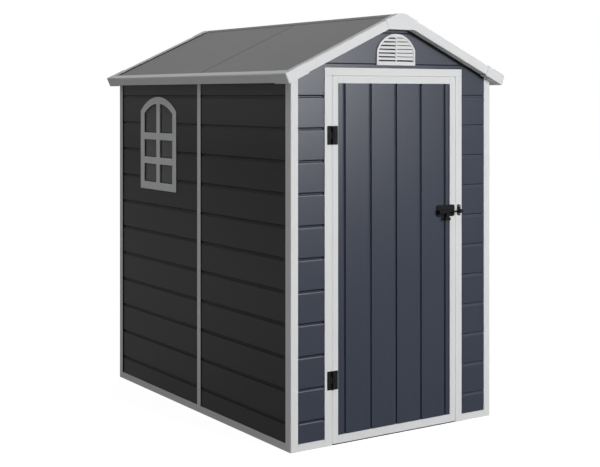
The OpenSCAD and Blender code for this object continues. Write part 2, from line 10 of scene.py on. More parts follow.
import bpy
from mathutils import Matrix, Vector


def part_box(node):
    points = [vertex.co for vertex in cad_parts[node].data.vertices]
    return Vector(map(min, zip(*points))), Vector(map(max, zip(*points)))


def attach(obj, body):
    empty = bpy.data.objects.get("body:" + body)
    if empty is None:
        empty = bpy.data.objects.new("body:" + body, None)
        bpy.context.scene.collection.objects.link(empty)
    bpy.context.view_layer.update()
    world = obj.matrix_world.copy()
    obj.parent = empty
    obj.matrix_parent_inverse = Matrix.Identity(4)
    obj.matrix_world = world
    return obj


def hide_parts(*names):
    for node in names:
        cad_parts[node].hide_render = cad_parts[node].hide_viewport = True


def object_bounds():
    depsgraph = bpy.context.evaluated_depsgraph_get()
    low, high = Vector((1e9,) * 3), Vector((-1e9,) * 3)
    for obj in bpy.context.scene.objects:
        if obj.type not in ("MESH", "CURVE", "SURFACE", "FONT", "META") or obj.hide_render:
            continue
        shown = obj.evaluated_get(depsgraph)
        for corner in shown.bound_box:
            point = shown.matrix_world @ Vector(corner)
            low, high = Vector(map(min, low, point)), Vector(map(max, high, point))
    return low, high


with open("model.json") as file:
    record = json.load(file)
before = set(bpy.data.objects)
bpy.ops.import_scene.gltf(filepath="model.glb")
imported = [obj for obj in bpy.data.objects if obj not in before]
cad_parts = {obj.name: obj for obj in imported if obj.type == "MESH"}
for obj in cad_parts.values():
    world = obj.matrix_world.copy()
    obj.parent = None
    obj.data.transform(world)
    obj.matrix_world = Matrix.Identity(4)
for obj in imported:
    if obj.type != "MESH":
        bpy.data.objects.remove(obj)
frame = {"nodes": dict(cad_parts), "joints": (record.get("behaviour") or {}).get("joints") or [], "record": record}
cad_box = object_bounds()

# %% [markdown]
# Every place below is read from the boxes of the construction model, so that a change of a size
# there carries through to here. The front of the shed faces -Y, its window is on the left, at -X.

# %% Main faces of the shed
MM = 0.001
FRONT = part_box("post_front_left")[0].y
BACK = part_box("post_back_left")[1].y
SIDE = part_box("post_front_right")[1].x
RAIL_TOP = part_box("base_rails")[1].z
FLOOR_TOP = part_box("floor_panel")[1].z
TOP = cad_box[1].z
MIDDLE = (cad_box[0] + cad_box[1]) / 2
print("width", round(2 * SIDE, 3), "depth", round(BACK - FRONT, 3), "height", round(TOP, 3))

# %% [markdown]
# ## Camera
# The shed is seen from a corner at about eye height, so its upright edges stay upright. An upright
# camera with a vertical shift does that: tilting it would make the posts lean together.

# %% Camera
camera_data = bpy.data.cameras.new("camera")
camera_data.sensor_width = 36
camera_data.lens = 73.29
camera_data.shift_y = -0.2302
camera = bpy.data.objects.new("camera", camera_data)
camera.location = (-3.8136, -5.8583, 1.7134)
camera.rotation_euler = (math.radians(90), 0, math.radians(-33.40))
bpy.context.scene.collection.objects.link(camera)
bpy.context.scene.camera = camera
bpy.context.scene.view_settings.view_transform = "Standard"
print("lens", camera_data.lens)

# %% [markdown]
# ## Light
# A large soft lamp stands at the front on the right: it lights the front evenly and shows as a broad
# sheen on the walls. A soft lamp overhead lights the roof, and the dim surroundings fill the rest.

# %% Lamps
def soft_lamp(name, place, target, size, power):
    """Adds a square area lamp at a place, turned to a target."""
    data = bpy.data.lights.new(name, "AREA")
    data.shape = "SQUARE"
    data.size = size
    data.energy = power
    lamp = bpy.data.objects.new(name, data)
    lamp.location = place
    lamp.rotation_euler = (Vector(target) - Vector(place)).to_track_quat("-Z", "Y").to_euler()
    bpy.context.scene.collection.objects.link(lamp)
    return lamp


front_lamp = soft_lamp("front_lamp", (3.6, -13.0, 2.8), (0.0, FRONT, 1.1), 4.0, 1080)
front_lamp.visible_glossy = False
sheen_lamp = soft_lamp("sheen_lamp", (1.37, -5.4, 2.62), (0.0, FRONT, 1.4), 2.5, 550)
sheen_lamp.visible_diffuse = False
soft_lamp("top_lamp", (-1.2, 0.0, 5.5), (0.0, 0.0, 1.5), 3.0, 33)

# %% [markdown]
# ## Shader maths
# A pattern is easier to read as a sum than as a row of Math nodes. The Signal class wraps a socket,
# and each Python operator adds the node that does it.

# %% Signals
class Signal:
    """A socket that takes part in arithmetic."""

    def __init__(self, finish, socket):
        self.finish = finish
        self.socket = socket

    def math(self, operation, first, second):
        """Adds one Math node."""
        return self.finish.node("ShaderNodeMath", {"operation": operation}, {0: first, 1: second})

    def __add__(self, other):
        return self.math("ADD", self, other)

    def __rsub__(self, other):
        return self.math("SUBTRACT", other, self)

    def __mul__(self, other):
        return self.math("MULTIPLY", self, other)

    __radd__ = __add__


print("sockets can be added, subtracted and multiplied")

# %% [markdown]
# A finish is a node tree that grows from its pattern to its surface. One method of Finish adds any
# node, and the others are the few sums of nodes that all plastics of the shed share.

# %% Finishes
class Finish:
    """A material or a world under construction, with one method that adds nodes."""

    def __init__(self, block):
        block.use_nodes = True
        self.block = block
        self.tree = block.node_tree
        self.tree.nodes.clear()

    def node(self, kind, settings=None, sockets=None, output=0):
        """Adds a node with its settings, and sets or links its sockets."""
        made = self.tree.nodes.new(kind)
        for name, value in (settings or {}).items():
            if name == "stops":
                for stop, (place, tone) in zip(made.color_ramp.elements, value):
                    stop.position = place
                    stop.color = (tone, tone, tone, 1)
            else:
                setattr(made, name, value)
        for name, value in (sockets or {}).items():
            if isinstance(value, Signal):
                self.tree.links.new(value.socket, made.inputs[name])
            else:
                made.inputs[name].default_value = value
        return Signal(self, made.outputs[output]) if made.outputs else None

    def place(self):
        """The piece's own coordinates, in metres."""
        return self.node("ShaderNodeTexCoord", output="Object")

    def noise(self, stretch, detail):
        """Noise on the piece's own coordinates, stretched along its axes."""
        spread = self.node("ShaderNodeVectorMath", {"operation": "MULTIPLY"}, {0: self.place(), 1: stretch})
        return self.node("ShaderNodeTexNoise", None, {"Vector": spread, "Scale": 1.0, "Detail": detail})

    def ramp(self, value, *stops):
        """A grey between two stops, each with a place and a tone."""
        return self.node("ShaderNodeValToRGB", {"stops": stops}, {"Fac": value})

    def fade(self, value, start, end, low, high):
        """A soft change from low to high while a value goes from start to end."""
        return self.node("ShaderNodeMapRange", {"interpolation_type": "SMOOTHSTEP"},
                         {"Value": value, "From Min": start, "From Max": end, "To Min": low, "To Max": high})

    def mix(self, share, first, second):
        """A colour between two colours, which are sockets 6 and 7 of the Mix node."""
        return self.node("ShaderNodeMix", {"data_type": "RGBA"}, {0: share, 6: first, 7: second}, output=2)

    def bump(self, height, strength, distance):
        """The normal of a surface that a pattern lifts by up to a distance."""
        return self.node("ShaderNodeBump", None,
                         {"Height": height, "Strength": strength, "Distance": distance})

    def surface(self, **sockets):
        """The surface shader and the output, with the socket names written with underscores."""
        named = {name.replace("_", " "): value for name, value in sockets.items()}
        shader = self.node("ShaderNodeBsdfPrincipled", None, named)
        self.node("ShaderNodeOutputMaterial", None, {"Surface": shader})
        return self.block


def new_finish(name):
    """Starts the finish of a material."""
    return Finish(bpy.data.materials.new(name))


print("finish steps", [name for name in vars(Finish) if not name.startswith("_")])

# %% [markdown]
# ## Surroundings
# The background is plain white to the eye, to gloss and to glass, but lights the shed only dimly.
# Light Path tells the world which ray asks. Towards the left the surroundings that the gloss sees
# fall off to a dim grey, as a dark screen in a studio does, which keeps the side wall deep in tone.

# %% World
FILL = 0.305
SCREEN_EDGE = (-0.5, 0.3)
SCREEN_TONE = 0.06
world = Finish(bpy.data.worlds.new("surroundings"))
bpy.context.scene.world = world.block
ray = world.tree.nodes.new("ShaderNodeLightPath")
camera_ray = Signal(world, ray.outputs["Is Camera Ray"])
glossy_ray = Signal(world, ray.outputs["Is Glossy Ray"])
transmission_ray = Signal(world, ray.outputs["Is Transmission Ray"])
direction = world.node("ShaderNodeTexCoord", output="Generated")
towards_right = world.node("ShaderNodeSeparateXYZ", None, {0: direction}, output="X")
lit_side = world.fade(towards_right, *SCREEN_EDGE, SCREEN_TONE, 1.0)
seen = camera_ray + transmission_ray + glossy_ray * lit_side
strength = world.node("ShaderNodeMath", {"operation": "MAXIMUM"}, {0: seen, 1: (1 - glossy_ray) * FILL})
clipped = world.node("ShaderNodeMath", {"operation": "MINIMUM"}, {0: strength, 1: 1.0})
background = world.node("ShaderNodeBackground", None, {"Color": (1, 1, 1, 1), "Strength": clipped})
world.node("ShaderNodeOutputWorld", None, {"Surface": background})
print("world nodes", len(world.tree.nodes))

# %% [markdown]
# The floor is a wide plane. To the eye it glows almost white and adds a share of the light that falls
# on it, so that it stays white in the open and keeps a soft shadow round the foot of the shed.

# %% Floor
FLOOR_GREY = (0.34, 0.34, 0.34, 1)
FLOOR_GLOW = 0.90
BOUNCE_GREY = (0.52, 0.52, 0.52, 1)
MIRRORED_SHARE = 0.3
bpy.ops.object.select_all(action="DESELECT")
bpy.ops.mesh.primitive_plane_add(size=400, location=(0, 0, -0.5 * MM))
ground = bpy.context.object
ground.name = "ground"
paving = new_finish("studio_floor")
floor_ray = paving.tree.nodes.new("ShaderNodeLightPath")
eye = Signal(paving, floor_ray.outputs["Is Camera Ray"])
mirrored_ray = Signal(paving, floor_ray.outputs["Is Glossy Ray"])
matte = paving.node("ShaderNodeBsdfDiffuse", None, {"Color": FLOOR_GREY})
glow = paving.node("ShaderNodeEmission", None, {"Color": (1, 1, 1, 1), "Strength": FLOOR_GLOW})
both = paving.node("ShaderNodeAddShader", None, {0: matte, 1: glow})
bounce = paving.node("ShaderNodeBsdfDiffuse", None, {"Color": BOUNCE_GREY})
glowing = eye + mirrored_ray * MIRRORED_SHARE
shown = paving.node("ShaderNodeMixShader", None, {0: glowing, 1: bounce, 2: both})
paving.node("ShaderNodeOutputMaterial", None, {"Surface": shown})
ground.data.materials.append(paving.block)
print("floor", [round(d) for d in ground.dimensions])

# %% [markdown]
# ## Finishes
# The panels are blow-moulded plastic, coloured right through, with a shallow wood grain that the
# mould gives them. The grain is a noise stretched along the boards: it tints the colour a little,
# changes the gloss and lifts the surface by a fraction of a millimetre. The colour can also be scaled
# with height: the side boards get painted shade at the foot of the wall and painted light under the roof.

# %% Wall plastic
def moulded_boards(name, dark, light, grain, cross, foot=1.0, top=1.0):
    """Wall plastic with a wood grain. Grain and cross are noise stretches, and foot and top scale
    the colour at the bottom and at the top of a wall, which paints shade at the foot and light at the top."""
    finish = new_finish(name)
    fibre = finish.noise(grain, detail=5.0)
    cloud = finish.noise(cross, detail=2.0)
    shade = finish.ramp(fibre * 0.6 + cloud * 0.4, (0.3, 0.0), (0.7, 1.0))
    colour = finish.mix(shade, dark, light)
    # Painted shade and light: foot scales the colour down near the floor and top scales it up under the roof.
    height = finish.node("ShaderNodeSeparateXYZ", None, {0: finish.place()}, output="Z")
    painted_shade_and_light = finish.fade(height, 0.1, 0.9, foot, 1.0) * finish.fade(height, 1.35, 1.8, 1.0, top)
    colour = finish.node("ShaderNodeVectorMath", {"operation": "SCALE"}, {0: colour, "Scale": painted_shade_and_light})
    relief = finish.bump(fibre, 0.25, 0.6 * MM)
    return finish.surface(Base_Color=colour, Roughness=0.31 + cloud * 0.06, Normal=relief,
                          Specular_IOR_Level=0.16)


SLATE = ((0.0362, 0.0422, 0.0625, 1), (0.0400, 0.0470, 0.0685, 1))
# The side boards are the same slate plastic as the rest. The darker, neutral copy of its colour below paints the
# shade of the side walls.
SHADED_SIDE_SLATE = ((0.0340, 0.0342, 0.0362, 1), (0.0370, 0.0372, 0.0394, 1))
level_boards = moulded_boards("level_boards", *SLATE, (5, 5, 160), (1.3, 1.3, 1.8))
upright_boards = moulded_boards("upright_boards", *SLATE, (160, 160, 5), (1.8, 1.8, 1.1))
# The side boards get painted shade at the foot of the wall and painted light under the roof.
shaded_side_boards = moulded_boards("shaded_side_boards", *SHADED_SIDE_SLATE, (5, 5, 160), (1.3, 1.3, 1.8), foot=0.5, top=2.3)
print("wall finishes", level_boards.name, upright_boards.name, shaded_side_boards.name)

# %% [markdown]
# The rails, posts and trims are light grey extrusions with a fine matte stipple. The roof, the floor,
# the black coat of the hardware and the black rubber come from the same function, because they
# differ from it only in colour, gloss and the size of the stipple. The rubber makes the seals, and
# also the dark strips that paint shade in gaps.

# %% Frame plastic
def stippled_plastic(name, dark, light, grain, roughness, specular):
    """Matte plastic with a fine stipple. Grain is the stipple's size in noise periods a metre."""
    finish = new_finish(name)
    stipple = finish.noise((grain, grain, grain), detail=3.0)
    cloud = finish.noise((2.2, 2.2, 2.2), detail=3.0)
    shade = finish.ramp(stipple * 0.45 + cloud * 0.55, (0.3, 0.0), (0.7, 1.0))
    colour = finish.mix(shade, dark, light)
    relief = finish.bump(stipple, 0.3, 0.25 * MM)
    return finish.surface(Base_Color=colour, Roughness=roughness + cloud * 0.12, Normal=relief,
                          Specular_IOR_Level=specular)


frame_plastic = stippled_plastic("frame_plastic", (0.665, 0.670, 0.678, 1), (0.710, 0.715, 0.723, 1),
                                 420, 0.52, 0.17)
roof_plastic = stippled_plastic("roof_plastic", (0.280, 0.280, 0.283, 1), (0.318, 0.318, 0.321, 1),
                                260, 0.66, 0.12)
floor_plastic = stippled_plastic("floor_plastic", (0.085, 0.090, 0.100, 1), (0.110, 0.115, 0.125, 1),
                                 300, 0.55, 0.30)
black_coat = stippled_plastic("black_coat", (0.009, 0.009, 0.010, 1), (0.015, 0.015, 0.016, 1),
                              900, 0.60, 0.05)
# This black rubber serves the seals, and also the dark strips that paint shade in gaps and under the soffits.
seal_and_shade_rubber = stippled_plastic("seal_and_shade_rubber", (0.006, 0.006, 0.007, 1), (0.012, 0.012, 0.013, 1),
                               700, 0.70, 0.10)
print("plastics", [m.name for m in (frame_plastic, roof_plastic, floor_plastic, black_coat, seal_and_shade_rubber)])

# %% [markdown]
# The window is a thin clear sheet in front of a dark room. The ridge beam is galvanised steel, whose
# zinc sets in angular spangles: Voronoi cells of slightly different brightness.

# %% Glazing and steel
def glazing(name):
    """A thin clear sheet with a faint film on it."""
    finish = new_finish(name)
    film = finish.noise((3, 3, 3), detail=3.0)
    colour = finish.mix(film, (0.085, 0.086, 0.090, 1), (0.105, 0.106, 0.110, 1))
    return finish.surface(Base_Color=colour, Roughness=0.14 + film * 0.08, Alpha=0.8,
                          Specular_IOR_Level=0.35)


def galvanised(name):
    """Steel with zinc spangles."""
    finish = new_finish(name)
    spangle = finish.node("ShaderNodeTexVoronoi", None, {"Vector": finish.place(), "Scale": 90.0},
                          output="Color")
    tone = finish.node("ShaderNodeRGBToBW", None, {"Color": spangle})
    colour = finish.mix(tone, (0.46, 0.48, 0.50, 1), (0.64, 0.66, 0.68, 1))
    return finish.surface(Base_Color=colour, Metallic=0.9, Roughness=0.34 + tone * 0.2)


window_pane = glazing("window_pane")
beam_steel = galvanised("beam_steel")
print("materials", len(bpy.data.materials))

# %% [markdown]
# The record of the construction model gives each node a named slot. Its meshes get the same finishes
# as the new pieces, so a node that stays as it is fits in with the rest.

# %% Dress the construction model
SLOT_FINISH = {
    "cladding_plastic": level_boards,
    "frame_plastic": frame_plastic,
    "roof_plastic": roof_plastic,
    "floor_plastic": floor_plastic,
    "window_pane": window_pane,
    "beam_metal": beam_steel,
    "black_hardware": black_coat,
}
for part in frame["record"]["subparts"]:
    mesh = frame["nodes"][part["node"]].data
    mesh.materials.clear()
    mesh.materials.append(SLOT_FINISH[part["material_slot"]])
frame["nodes"]["door_panel"].data.materials[0] = upright_boards

# %% [markdown]
# ## Working by hand, in code
# Each new piece starts as a primitive at its real size and place, and edit-mode tools shape it. An
# operator works on whatever is selected, so nothing stays selected between steps, and faces, edges
# and vertices are picked by where they are.

# %% Blocks and picks
SAME = 0.02 * MM


def clear_selection():
    """Leaves edit mode and selects nothing."""
    if bpy.context.mode != "OBJECT":
        bpy.ops.object.mode_set(mode="OBJECT")
    bpy.ops.object.select_all(action="DESELECT")


def work_on(piece):
    """Makes a piece the only selected one."""
    clear_selection()
    piece.select_set(True)
    bpy.context.view_layer.objects.active = piece


def block(name, low, high):
    """A box between two corners, with its place in its mesh."""
    clear_selection()
    low, high = Vector(low), Vector(high)
    bpy.ops.mesh.primitive_cube_add(size=1, location=(low + high) / 2)
    piece = bpy.context.object
    piece.name = name
    piece.scale = high - low
    bpy.ops.object.transform_apply(location=True, rotation=True, scale=True)
    return piece


def pick(piece, kind, test):
    """Opens a piece in edit mode with only the parts that pass a test selected, and counts them.
    The test is given a vertex's place, an edge's two ends, or a face's middle and normal."""
    work_on(piece)
    bpy.ops.object.mode_set(mode="EDIT")
    bpy.ops.mesh.select_mode(type=kind)
    bpy.ops.mesh.select_all(action="DESELECT")
    bpy.ops.object.mode_set(mode="OBJECT")
    mesh = piece.data
    places = [v.co.copy() for v in mesh.vertices]
    if kind == "VERT":
        chosen = [v for v in mesh.vertices if test(v.co)]
    elif kind == "EDGE":
        chosen = [e for e in mesh.edges if test(places[e.vertices[0]], places[e.vertices[1]])]
    else:
        chosen = [f for f in mesh.polygons if test(f.center, f.normal)]
    for part in chosen:
        part.select = True
    bpy.ops.object.mode_set(mode="EDIT")
    return len(chosen)


def close_to(value, target):
    """Says whether a place is on a line that a cut has made."""
    return abs(value - target) < SAME


print("same place within", SAME, "m")

# %% [markdown]
# A straight cut through a piece is a bisect. It only adds edges, or it also clears one side and caps
# the open end. The strips between two cuts can then be pulled out or pushed in.

# %% Cuts and pulls
def cut(piece, place, normal, clear=False, fill=True):
    """Cuts a piece along a plane. With clear, the side that the normal points to goes away."""
    work_on(piece)
    bpy.ops.object.mode_set(mode="EDIT")
    bpy.ops.mesh.select_all(action="SELECT")
    bpy.ops.mesh.bisect(plane_co=place, plane_no=normal, clear_outer=clear, use_fill=clear and fill)
    bpy.ops.object.mode_set(mode="OBJECT")
    return piece


def rework(piece, kind, test, tool, **settings):
    """Uses one edit-mode tool on the parts that pass a test."""
    pick(piece, kind, test)
    tool(**settings)
    bpy.ops.object.mode_set(mode="OBJECT")
    return piece


def pull(piece, test, step):
    """Pulls faces out of a piece, or pushes them in."""
    return rework(piece, "FACE", test, bpy.ops.mesh.extrude_region_move,
                  TRANSFORM_OT_translate={"value": step})


def sink_pads(piece, test, rim, slope, depth):
    """Sinks a pad into each face that passes a test."""
    pick(piece, "FACE", test)
    bpy.ops.mesh.inset(thickness=rim, depth=0, use_individual=True)
    bpy.ops.mesh.inset(thickness=slope, depth=-depth, use_individual=True)
    bpy.ops.object.mode_set(mode="OBJECT")
    return piece


print("cuts and pulls ready")

# %% [markdown]
# No moulded edge is sharp. One that shows gets its own rounding, and all others get a fine one from a
# bevel that looks for edges by their angle. Edges that turn by less than the sharp angle are shaded
# smooth, so that a curve made of facets looks round.

# %% Roundings
SHARP = math.radians(40)


def round_edge(piece, test, radius, segments=5):
    """Rounds the edges that pass a test."""
    return rework(piece, "EDGE", test, bpy.ops.mesh.bevel, offset=radius, segments=segments,
                  affect="EDGES")


def round_line(piece, line, radius, segments=5):
    """Rounds the edges on a straight line. Line gives its place on two axes, 0 for X to 2 for Z."""
    return round_edge(piece, lambda a, b: all(close_to(end[axis], at) for end in (a, b)
                                              for axis, at in line.items()), radius, segments)


def soften(piece, width, segments=2, angle=32):
    """Rounds every sharp edge a little with a bevel, and shades the piece smooth across it."""
    work_on(piece)
    bevel = piece.modifiers.new("rounding", "BEVEL")
    bevel.width = width
    bevel.segments = segments
    bevel.limit_method = "ANGLE"
    bevel.angle_limit = math.radians(angle)
    bpy.ops.object.modifier_apply(modifier=bevel.name)
    bpy.ops.object.shade_smooth_by_angle(angle=SHARP)
    return piece


def flatten(piece):
    """Makes wide faces shade flat, so that only the narrow bevels between them look round."""
    work_on(piece)
    bpy.ops.object.shade_smooth_by_angle(angle=SHARP)
    weighting = piece.modifiers.new("weighting", "WEIGHTED_NORMAL")
    weighting.keep_sharp = True
    bpy.ops.object.modifier_apply(modifier=weighting.name)


print("sharp above", round(math.degrees(SHARP)), "degrees")

# %% [markdown]
# The shed is nearly the same on both sides, so most pieces of the left are mirrored copies of those
# on the right. A mirrored copy is inside out until its faces are turned outwards. Openings are carved
# with a boolean, because no other tool follows an arch through a grooved board.

# %% Copies, joins and carving
def outward(piece):
    """Turns all faces of a closed piece outwards."""
    pick(piece, "FACE", lambda middle, normal: True)
    bpy.ops.mesh.remove_doubles(threshold=0.005 * MM)
    bpy.ops.mesh.normals_make_consistent(inside=False)
    bpy.ops.object.mode_set(mode="OBJECT")
    return piece


def mirrored(piece, name, axis=0):
    """A copy on the other side of the shed, with a mesh of its own."""
    work_on(piece)
    bpy.ops.object.duplicate()
    copy = bpy.context.object
    copy.name = name
    copy.scale[axis] = -1
    bpy.ops.object.transform_apply(location=True, rotation=True, scale=True)
    return outward(copy)


def joined(name, pieces):
    """One piece made of several."""
    clear_selection()
    for piece in pieces:
        piece.select_set(True)
    bpy.context.view_layer.objects.active = pieces[0]
    if len(pieces) > 1:
        bpy.ops.object.join()
    pieces[0].name = name
    return pieces[0]


def carve(piece, cutter, operation="DIFFERENCE"):
    """Takes a cutter out of a piece, or keeps only what lies in it. The cutter goes away."""
    work_on(piece)
    boolean = piece.modifiers.new("carving", "BOOLEAN")
    boolean.operation = operation
    boolean.object = cutter
    boolean.solver = "EXACT"
    bpy.ops.object.modifier_apply(modifier=boolean.name)
    bpy.data.objects.remove(cutter)
    return piece


print("copies, joins and carving ready")

# %% [markdown]
# A finished piece takes its finish from its slot and says what it stands for, and with which body of
# the construction model it moves. The door's pieces turn with the door in this way.

# %% Dressing
def dress(piece, body, slot, *nodes, finish=None):
    """Gives a finished piece its material, the body that it moves with and the nodes it stands for."""
    flatten(piece)
    clear_selection()
    piece.data.materials.clear()
    piece.data.materials.append(finish or SLOT_FINISH[slot])
    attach(piece, body)
    if nodes:
        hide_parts(*nodes)
    print(piece.name, [round(side, 3) for side in piece.dimensions], len(piece.data.polygons), "faces")
    return piece


def rubber(piece, body="root", rounding=0.3 * MM, segments=1):
    """Finishes a seal in black rubber, and also each dark strip that paints shade in a gap. It stands for no node.
    """
    return dress(soften(piece, rounding, segments), body, "black_hardware", finish=seal_and_shade_rubber)


print("slots", sorted(SLOT_FINISH))

# %% [markdown]
# ## Wall cladding
# Each wall is a hollow panel moulded to look like boards. Under each board runs a groove: the lip of
# the upper board rounds off into a flat floor, and a deep narrow slot lies under it where the next
# board begins. A block is cut at the heights of these lines and the lines are pushed in. Modelling
# board by board would leave open joints that a moulded panel doesn't have.

# %% Groove profiles
BOARD = 157.3 * MM
LOWEST_GROOVE = 133.0 * MM
GROOVE_MARGIN = 12.5 * MM
EDGE_ROUND = 0.9 * MM
# Each line of a profile is its place across the groove and its depth, in millimetres.
LIP_CURVE = ((-10.0, 0.0), (-7.0, 0.3), (-4.5, 1.2), (-2.2, 2.6))
DEEP_GROOVE = LIP_CURVE + ((0.0, 5.8), (3.2, 5.8), (3.6, 14.0), (10.0, 0.0))
FINE_GROOVE = LIP_CURVE + ((0.0, 4.2), (6.0, 4.4), (6.4, 8.4), (10.0, 0.0))
GABLE_GROOVE = ((-10.0, 0.0), (-9.4, 2.0), (4.6, 2.0), (5.0, 10.0), (10.0, 0.0))
print("boards", BOARD, "m high, deepest slot", max(deep for across, deep in DEEP_GROOVE), "mm")

# %% [markdown]
# One function presses a profile into a face at several places, for level grooves and upright ones.
# The walls are then cut off under the roof, whose two slopes meet at the apex of the gable.

# %% Grooved blocks
PITCH = math.radians(24.5)
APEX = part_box("gable_front")[1].z


def groove_heights(low, high):
    """Heights of the grooves that fit whole between two heights."""
    first = math.ceil((low + GROOVE_MARGIN - LOWEST_GROOVE) / BOARD - 1e-6)
    last = math.floor((high - GROOVE_MARGIN - LOWEST_GROOVE) / BOARD + 1e-6)
    return [LOWEST_GROOVE + k * BOARD for k in range(first, last + 1)]


def under_roof(piece):
    """Cuts a piece off along the underside of both roof slopes."""
    for s in (-1, 1):
        cut(piece, (0, 0, APEX), (s * math.sin(PITCH), 0, math.cos(PITCH)), clear=True)
    return piece


def grooved(piece, along, places, profile, axis, face, rounded):
    """Presses a groove profile into a face of a block at several places on one axis. Axis and face
    say where the face lies, and rounded which lines of the profile have their edges rounded."""
    square = Vector([float(k == along) for k in range(3)])
    step = Vector([float(k == axis) for k in range(3)]) * (MM if face < 0 else -MM)
    for place in places:
        for across, deep in profile:
            cut(piece, square * (place + across * MM), square)
    for across, deep in profile:
        if deep:
            lines = [place + across * MM for place in places]
            rework(piece, "VERT", lambda co: close_to(co[axis], face)
                   and any(close_to(co[along], line) for line in lines),
                   bpy.ops.transform.translate, value=step * deep)
    edges = [place + profile[k][0] * MM for place in places for k in rounded]
    round_edge(piece, lambda a, b: close_to(a[along], b[along]) and close_to(a[axis], face)
               and close_to(b[axis], face) and any(close_to(a[along], line) for line in edges),
               EDGE_ROUND, 2)
    bpy.ops.object.shade_smooth_by_angle(angle=SHARP)
    return piece


def cladding(node, low, high, axis, groove_lines=DEEP_GROOVE):
    """A wall block with grooves in its outer side, which looks along an axis, 0 or 1."""
    piece = block(node + "_boards", low, high)
    face = low[axis] if low[axis] < 0 else high[axis]
    grooved(piece, 2, groove_heights(low.z, high.z), groove_lines, axis, face, (-1,))
    return under_roof(piece)


# %% [markdown]
# The walls end 3 mm before the door jambs and the back posts. The joint there is a fine dark line,
# and elsewhere the panels run right up to the rails that hold them.

# %% Side walls and back walls
JOINT = 3 * MM
SIDE_WALLS = ("wall_left_front", "wall_left_back", "wall_right_front", "wall_right_back")
wall_pieces = {}
for node in SIDE_WALLS:
    low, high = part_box(node)
    if node.endswith("_back"):
        high.y -= JOINT
    wall_pieces[node] = cladding(node, low, high, 0, FINE_GROOVE)
for node in ("wall_back_left", "wall_back_right"):
    wall_pieces[node] = cladding(node, *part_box(node), 1)
print("walls", sorted(wall_pieces))

# %% [markdown]
# The narrow front walls are made in the same way, each with its own groove. So is the gable, whose
# groove is a plain step, because its boards lie flat under the trims of the roof.

# %% Front walls and gable
low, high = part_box("wall_front_left")
high.x -= JOINT
wall_pieces["wall_front_left"] = cladding("wall_front_left", low, high, 1, DEEP_GROOVE)
low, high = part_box("wall_front_right")
low.x += JOINT
wall_pieces["wall_front_right"] = cladding("wall_front_right", low, high, 1, FINE_GROOVE)
wall_pieces["gable_front"] = cladding("gable_front", *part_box("gable_front"), 1, GABLE_GROOVE)
print("walls", len(wall_pieces))

# %% [markdown]
# ## Arched outlines
# The window and the vent have the same form: straight sides under a low round arch. A filled circle
# is cut off at the foot of the arch, the cut edge is pulled down to make the sides, and the outline
# is pulled out to its thickness. It is made facing -Y and turned for the window.

# %% Arched block
def arched_block(name, half, foot, spring, centre, radius, thick):
    """An arched plate with its front at Y = 0. Foot, spring and centre are heights."""
    clear_selection()
    bpy.ops.mesh.primitive_circle_add(vertices=160, radius=radius, fill_type="NGON",
                                      location=(0, 0, centre), rotation=(math.radians(90), 0, 0))
    piece = bpy.context.object
    piece.name = name
    bpy.ops.object.transform_apply(location=True, rotation=True, scale=True)
    for place, normal in (((0, 0, spring), (0, 0, -1)), ((half, 0, 0), (1, 0, 0)),
                          ((-half, 0, 0), (-1, 0, 0))):
        cut(piece, place, normal, clear=True, fill=False)
    rework(piece, "EDGE", lambda a, b: close_to(a.z, spring) and close_to(b.z, spring),
           bpy.ops.mesh.extrude_region_move, TRANSFORM_OT_translate={"value": (0, 0, foot - spring)})
    return outward(pull(piece, lambda middle, normal: True, (0, thick, 0)))


def arch_radius(half, rise):
    """Radius of the arch that rises over a half width."""
    return (half * half + rise * rise) / (2 * rise)


print("a half round arch 1 m wide has a radius of", arch_radius(0.5, 0.5))

# %% [markdown]
# ## Window
# The frame, its upright bar and its two level bars are one moulding with six panes. Six cutters are
# made from the arched opening and taken out of one arched block. The same six shapes make the
# rubber seals round the panes.

# %% Window measures
frame_low, frame_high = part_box("window_frame")
glass_low, glass_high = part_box("window_glass")
WINDOW_MID = (frame_low.y + frame_high.y) / 2
WINDOW_HALF = (frame_high.y - frame_low.y) / 2
WINDOW_RISE = 83 * MM
WINDOW_SPRING = frame_high.z - WINDOW_RISE
WINDOW_RADIUS = arch_radius(WINDOW_HALF, WINDOW_RISE)
WINDOW_CENTRE = frame_high.z - WINDOW_RADIUS
PANE_HALF = (glass_high.y - glass_low.y) / 2
PANE_RADIUS = glass_high.z - WINDOW_CENTRE
PANE_SPRING = WINDOW_CENTRE + math.sqrt(PANE_RADIUS ** 2 - PANE_HALF ** 2)
UPRIGHT_BAR = 40 * MM
LEVEL_BARS = ((1318 * MM, 1357 * MM), (1458 * MM, 1498 * MM))
print("window arch", round(WINDOW_RADIUS, 4), "pane arch", round(PANE_RADIUS, 4))

# %% [markdown]
# Every window block is an arched plate that is turned to face -X. Three short functions serve the
# sash, its panes, the seals and the cutter for the wall.

# %% Window blocks
PAST_WALL = 20 * MM


def on_left_wall(piece, front):
    """Turns a plate that faces -Y to face -X, with its front at a place on X."""
    work_on(piece)
    piece.rotation_euler = (0, 0, math.radians(-90))
    piece.location = (front, WINDOW_MID, 0)
    bpy.ops.object.transform_apply(location=True, rotation=True, scale=True)
    return piece


def window_block(name, front=frame_low.x - PAST_WALL, back=frame_high.x + PAST_WALL, grow=0.0):
    """A block with the outline of the window, which reaches past the wall if no ends are given."""
    piece = arched_block(name, WINDOW_HALF + grow, frame_low.z - grow, WINDOW_SPRING, WINDOW_CENTRE,
                         WINDOW_RADIUS + grow, back - front)
    return on_left_wall(piece, front)


